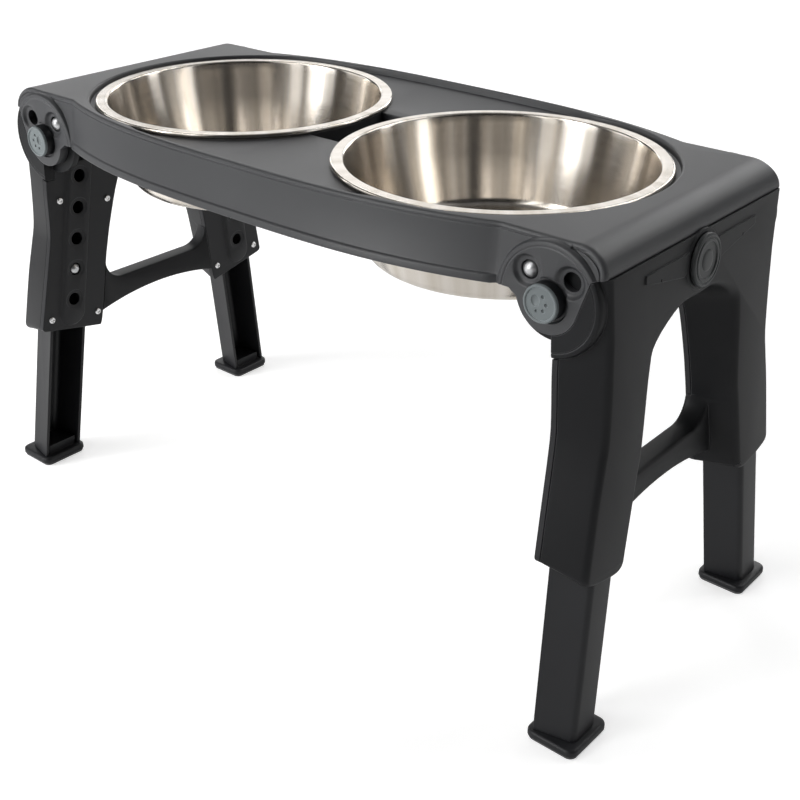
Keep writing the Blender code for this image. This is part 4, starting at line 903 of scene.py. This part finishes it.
screw = {"head": 2.7, "height": 1.2, "cross": 0.5, "arm": 1.7, "depth": 0.9}
for index, (y, z) in enumerate(screwCentres()):
    face = shell["inner"] - shell["lean"] * z - 0.3
    domed = [(0, 0), (screw["head"] - 0.1, 0), (screw["head"], -0.35), (screw["head"] - 0.15, -0.75),
             (screw["head"] - 0.55, -1.1), (1.7, -screw["height"]), (0, -screw["height"])]
    head = turned("head", domed, (face, y, z), (1, 0, 0), 40)
    shank = turned("shank", [(0, -0.7), (1.25, -0.7), (1.25, 9.0), (0, 9.0)], (face, y, z), (1, 0, 0), 16)
    head = join(head, shank)
    for longY, longZ in ((screw["arm"], screw["cross"]), (screw["cross"], screw["arm"])):
        bpy.ops.mesh.primitive_cube_add(size=1, location=(face - screw["height"], y, z),
                                        scale=(2 * screw["depth"], 2 * longY, 2 * longZ))
        arm = bpy.context.object
        bpy.ops.object.transform_apply(location=True, rotation=True, scale=True)
        head = cut(head, arm)
    atCorners(head, "plate_screw_%d" % (index + 1), finishes["screw"], "frame_{side}")
print("screws ready")


# Sliding legs, feet and soles

def makeLeg():
    g = leg
    body = join(legBar(g["halfInner"], g["halfOuter"], g["bottom"], g["tongue"]),
                legBar(g["halfOuter"], g["halfOuter"], g["tongue"] - 1, g["top"]))
    step = g["tongue"] - 2
    body = cut(body, legBar(g["halfInner"], g["halfOuter"], -1, step, -g["wall"], 1),
               legBar(g["halfOuter"], g["halfOuter"], step - 1, g["top"] + 1, -g["wall"], 1))
    inside = g["halfOuter"] - g["wall"] / 2
    near, far = g["x"] - g["halfDepth"], g["x"] + g["halfDepth"] - g["wall"] / 2
    block = [(near, g["y"] - inside), (far, g["y"] - inside), (far, g["y"] + inside), (near, g["y"] + inside)]
    body = join(body, leaned(prism("block", block, g["pinZ"] - g["block"], g["pinZ"] + g["block"]), shell["lean"],
                             g["splay"]))
    start = shell["inner"] + shell["plate"] - shell["lean"] * g["pinZ"]
    pocket = turned("pocket", [(0, 0), (g["pocket"], 0), (g["pocket"], g["pocketReach"]), (0, g["pocketReach"])],
                    (start - 4, g["y"] - g["splay"] * g["pinZ"], g["pinZ"]), (1, 0, 0), 48)
    return cut(body, pocket)


foot = {"length": 36.0, "width": 40.0, "corner": 6.0, "bottom": 2.1, "top": 7.1, "sole": 1.8, "inset": 1.0}
foot["x"] = leg["x"] - shell["lean"] * foot["top"]
foot["y"] = leg["y"] - leg["splay"] * foot["top"]


def roundedPlan(halfX, halfY, corner):
    line = []
    for turn, (signX, signY) in enumerate([(1, 1), (-1, 1), (-1, -1), (1, -1)]):
        centre = (foot["x"] + signX * (halfX - corner), foot["y"] + signY * (halfY - corner))
        line += arc(centre, corner, 90 * turn, 90 * turn + 90, 10)
    return line


def stackedPlan(name, levels, halfX, halfY, corner):
    return loft(name, [[(x, y, z) for x, y in grown(roundedPlan(halfX, halfY, corner), -inset)] for z, inset in levels])


def makeFoot():
    f = foot
    flange = stackedPlan("foot", [(f["bottom"], 0.5), (f["bottom"] + 0.5, 0.0), (f["top"] - 1.7, 0.0),
                                  (f["top"] - 0.9, 0.25),
                                  (f["top"] - 0.3, 0.9), (f["top"], 1.8)], f["length"] / 2, f["width"] / 2, f["corner"])
    plug = legBar(leg["halfInner"] - 1.6, leg["halfOuter"], f["top"] - 0.7, f["top"] + 7.3, -leg["wall"] - 0.4, -2)
    return join(flange, plug)


def makeSole():
    f = foot
    return stackedPlan("sole", [(0.0, 0.4), (0.4, 0.0), (f["sole"] - 0.2, 0.0), (f["sole"], 0.2)],
                       f["length"] / 2 - f["inset"], f["width"] / 2 - f["inset"], f["corner"] - f["inset"])


atCorners(makeLeg(), "leg", finishes["black"], "leg_{corner}")
atCorners(makeFoot(), "foot", finishes["black"], "leg_{corner}")
atCorners(makeSole(), "sole", finishes["rubber"], "leg_{corner}")
print("legs ready")


# Spring pins: domes of the height and lock buttons

pin = {"stem": 3.4, "flange": 5.6, "flangeThick": 1.4, "heightRadius": 4.7, "lockRadius": 5.2, "gap": 0.3,
       "heightProud": 0.6}


def domedPin(name, length, place, axis, radius):
    flange, back = pin["flange"], -pin["flangeThick"]
    line = [(0, 1.0), (pin["stem"], 1.0), (pin["stem"], back), (flange - 0.3, back), (flange, back + 0.3), (flange, 0),
            (radius, 0)]
    line += arc((0.0, length - radius), radius, 0, 90, 14)[:-1] + [(0, length)]
    return turned(name, line, place, axis, 56)


columnX = shell["inner"] - shell["lean"] * leg["pinZ"]
flangeX = columnX + shell["plate"] + pin["gap"]
heightPlace = (flangeX, leg["y"] - leg["splay"] * leg["pinZ"], leg["pinZ"])
heightPin = domedPin("heightPin", flangeX - columnX + plate["proud"] + pin["heightProud"], heightPlace, (-1, 0, 0),
                     pin["heightRadius"])
atCorners(heightPin, "height_pin", finishes["pin"], "height_pin_{corner}")
flangeY = ear["knuckleFaceY"] - pin["gap"]
lockX, lockZ = lockPlace(135)
lockPin = domedPin("lockPin", ear["faceY"] - ear["dishDepth"] + ear["domeProud"] - flangeY, (lockX, flangeY, lockZ),
                   (0, 1, 0), pin["lockRadius"])
atCorners(lockPin, "lock_pin", finishes["pin"], "lock_pin_{corner}")
print("pins ready")


# Pivot pins: wide grey heads with a rim and a sunken paw of plain pads

cap = {"radius": 11.3, "seatY": 101.9, "faceY": 110.7, "rim": 1.5, "dish": 0.7, "padDepth": 0.9, "padLift": 0.25,
       "greyDepth": 1.9, "bossTone": (0.0095, 0.0098, 0.0112, 1)}
pads = [((-3.3, 1.3), 2.9, 3.5), ((1.4, 4.5), 1.15, 1.2), ((3.9, 0.3), 1.2, 1.25), ((2.1, -3.5), 1.15, 1.2),
        ((-2.2, -4.6), 1.1, 1.15)]   # place beside and above the pivot, half width, half height


# Grey on the face of the cap, black on its boss, by distance from the middle of the feeder
def capFinish(topY):
    material = finishes["grey"].copy()
    material.name = "capGreyOnBlack"
    tree = material.node_tree
    shader = tree.nodes["Principled BSDF"]
    look = shader.inputs["Base Color"].links[0].from_socket
    sideways = shaderNode(tree, "SeparateXYZ", {0: objectPlace(tree)}).outputs["Y"]
    outside = mathNode(tree, "GREATER_THAN", mathNode(tree, "ABSOLUTE", sideways), topY * 0.001)
    tree.links.new(mixed(tree, outside, cap["bossTone"], look), shader.inputs["Base Color"])
    return material


backY = ear["knuckleFaceY"] - ear["knuckleThick"] - 0.3
r, rimR, faceY, seatY, dishY = (cap["radius"], cap["radius"] - cap["rim"], cap["faceY"], cap["seatY"],
                                cap["faceY"] - cap["dish"])
line = [(0, backY - 2), (8.0, backY - 2), (8.0, backY), (5.0, backY), (5.0, seatY), (r - 0.4, seatY), (r, seatY + 0.5),
        (r - 0.1, faceY - 1.2), (r - 0.45, faceY - 0.35), (r - 1.0, faceY), (rimR, faceY), (rimR - 0.35, faceY - 0.2),
        (rimR - 0.6, dishY), (rimR - 1.5, dishY), (0, dishY + 0.15)]
pivotX, pivotZ = ear["pivot"]
head = turned("pivotPin", [(radius, along - backY) for radius, along in line], (pivotX, backY, pivotZ), (0, 1, 0), 96)
for (x, z), halfX, halfZ in pads:
    bpy.ops.mesh.primitive_uv_sphere_add(segments=32, ring_count=16, radius=1,
                                         location=(pivotX + x, dishY + cap["padLift"], pivotZ + z),
                                         scale=(halfX, cap["padDepth"] + cap["padLift"], halfZ))
    pad = bpy.context.object
    bpy.ops.object.transform_apply(location=True, rotation=True, scale=True)
    head = cut(head, pad)
atCorners(head, "pivot_pin", capFinish(faceY - cap["greyDepth"]), "deck")
for name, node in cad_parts.items():
    if "_spring_" in name:
        node.data.materials.clear()
        node.data.materials.append(finishes["spring"])
print("pivots ready")


# Floor, lamps, background and camera

studio = {"floorTone": 0.72, "floorGlow": 0.56, "floorShine": 0.2, "base": 0.03, "top": 0.12, "level": 1.08,
          "soft": 1.5,
          "leftPower": 5.0, "lampSize": 0.35, "lampPlace": (-0.72, -0.62, 0.30), "lampAim": (-0.26, -0.1, 0.2),
          "panelFoot": (26, 34), "horizon": (-2, 1), "panelTop": (61, 69)}   # heights in degrees above the floor
# Soft upright panels round the feeder: heading, half width, strength below and above panelFoot
panels = [(-176, 3, 2.4, 0.2), (-155, 11, 1.2, 0.3), (-124, 5, 2.4, 5.0), (-112, 6, 6.2, 1.4), (-103, 2, 2.0, 2.0),
          (-90, 6, 1.2, 2.0), (-79, 4, 0.25, 0.3), (9, 5, 1.2, 0.3), (24, 9, 0.3, 0.3), (43, 5, 2.0, 0.2),
          (58, 5, 0.25, 4.2),
          (78, 4, 0.2, 5.0), (100, 10, 3.2, 0.6), (128, 13, 1.1, 0.6), (147, 5, 1.0, 3.0), (153, 3, 1.9, 0.3)]
bpy.ops.object.select_all(action="DESELECT")
bpy.ops.mesh.primitive_plane_add(size=12, location=(0, 0, -0.0002))
floor = bpy.context.object
floor.name = "paleFloor"
floorMaterial, tree, shader = blankMaterial("paleFloor")
shader.inputs["Base Color"].default_value = (studio["floorTone"],) * 3 + (1,)
shader.inputs["Roughness"].default_value = 0.9
shader.inputs["Specular IOR Level"].default_value = 0.0
seen = shaderNode(tree, "LightPath", {}).outputs
glowing = mathNode(tree, "ADD", mathNode(tree, "MULTIPLY", seen["Is Camera Ray"], studio["floorGlow"]),
                   mathNode(tree, "MULTIPLY", seen["Is Glossy Ray"], studio["floorShine"]))
glow = shaderNode(tree, "Emission", {"Strength": glowing}).outputs["Emission"]
both = shaderNode(tree, "AddShader", {0: shader.outputs["BSDF"], 1: glow}).outputs["Shader"]
tree.links.new(both, tree.nodes["Material Output"].inputs["Surface"])
floor.data.materials.append(floorMaterial)


world = bpy.data.worlds.new("studio")
bpy.context.scene.world = world
world.use_nodes = True
tree = world.node_tree
background = tree.nodes["Background"]
outward = shaderNode(tree, "TexCoord", {}).outputs["Generated"]
x, y, z = shaderNode(tree, "SeparateXYZ", {0: outward}).outputs
heading = mathNode(tree, "MULTIPLY", mathNode(tree, "ARCTAN2", y, x), 180 / math.pi)
height = mathNode(tree, "MULTIPLY", mathNode(tree, "ARCSINE", z), 180 / math.pi)
light = None
for middle, half, low, high in panels:
    apart = mathNode(tree, "ABSOLUTE", mathNode(tree, "SUBTRACT", heading, float(middle)))
    inside = mapRange(tree, apart, half - studio["soft"] / 2, half + studio["soft"] / 2, 1.0, 0.0)
    shining = mathNode(tree, "MULTIPLY", inside, mapRange(tree, height, *studio["panelFoot"], low, high))
    light = shining if light is None else mathNode(tree, "ADD", light, shining)
light = mathNode(tree, "MULTIPLY", light, mapRange(tree, height, *studio["horizon"], 0.0, studio["level"]))
light = mathNode(tree, "MULTIPLY", light, mapRange(tree, height, *studio["panelTop"], 1.0, 0.0))
above = mapRange(tree, height, *studio["panelTop"], studio["base"], studio["top"])
seen = shaderNode(tree, "LightPath", {}).outputs
behind = shaderNode(tree, "Mix", {"Factor": seen["Is Camera Ray"], "A": mathNode(tree, "ADD", light, above), "B": 1.0})
tree.links.new(behind.outputs["Result"], background.inputs["Strength"])
background.inputs["Color"].default_value = (1, 1, 1, 1)


leftLamp = bpy.data.lights.new("leftLamp", "AREA")
leftLamp.size = studio["lampSize"]
leftLamp.energy = studio["leftPower"]
leftLight = bpy.data.objects.new("leftLamp", leftLamp)
bpy.context.scene.collection.objects.link(leftLight)
leftLight.location = studio["lampPlace"]
leftLight.rotation_euler = (Vector(studio["lampAim"]) - leftLight.location).to_track_quat("-Z", "Y").to_euler()
leftLight.visible_glossy = False

bpy.ops.object.select_all(action="DESELECT")
view = {"place": (0.56262, -0.62507, 0.55008), "yaw": -0.702, "pitch": 0.4931, "roll": 0.006, "lens": 56.411}
data = bpy.data.cameras.new("photoCamera")
data.sensor_width = 36.0
data.lens = view["lens"]
camera = bpy.data.objects.new("photoCamera", data)
bpy.context.scene.collection.objects.link(camera)
yaw, pitch, roll = view["yaw"], view["pitch"], view["roll"]
forward = Vector((math.sin(yaw) * math.cos(pitch), math.cos(yaw) * math.cos(pitch), -math.sin(pitch)))
right = Vector((math.cos(yaw), -math.sin(yaw), 0))
up = right.cross(forward)
rolledRight = math.cos(roll) * right + math.sin(roll) * up
rolledUp = -math.sin(roll) * right + math.cos(roll) * up
turn = Matrix((rolledRight, rolledUp, -forward)).transposed().to_4x4()
camera.matrix_world = Matrix.Translation(view["place"]) @ turn
bpy.context.scene.camera = camera
bpy.context.scene.view_settings.view_transform = "Standard"
print("studio ready")
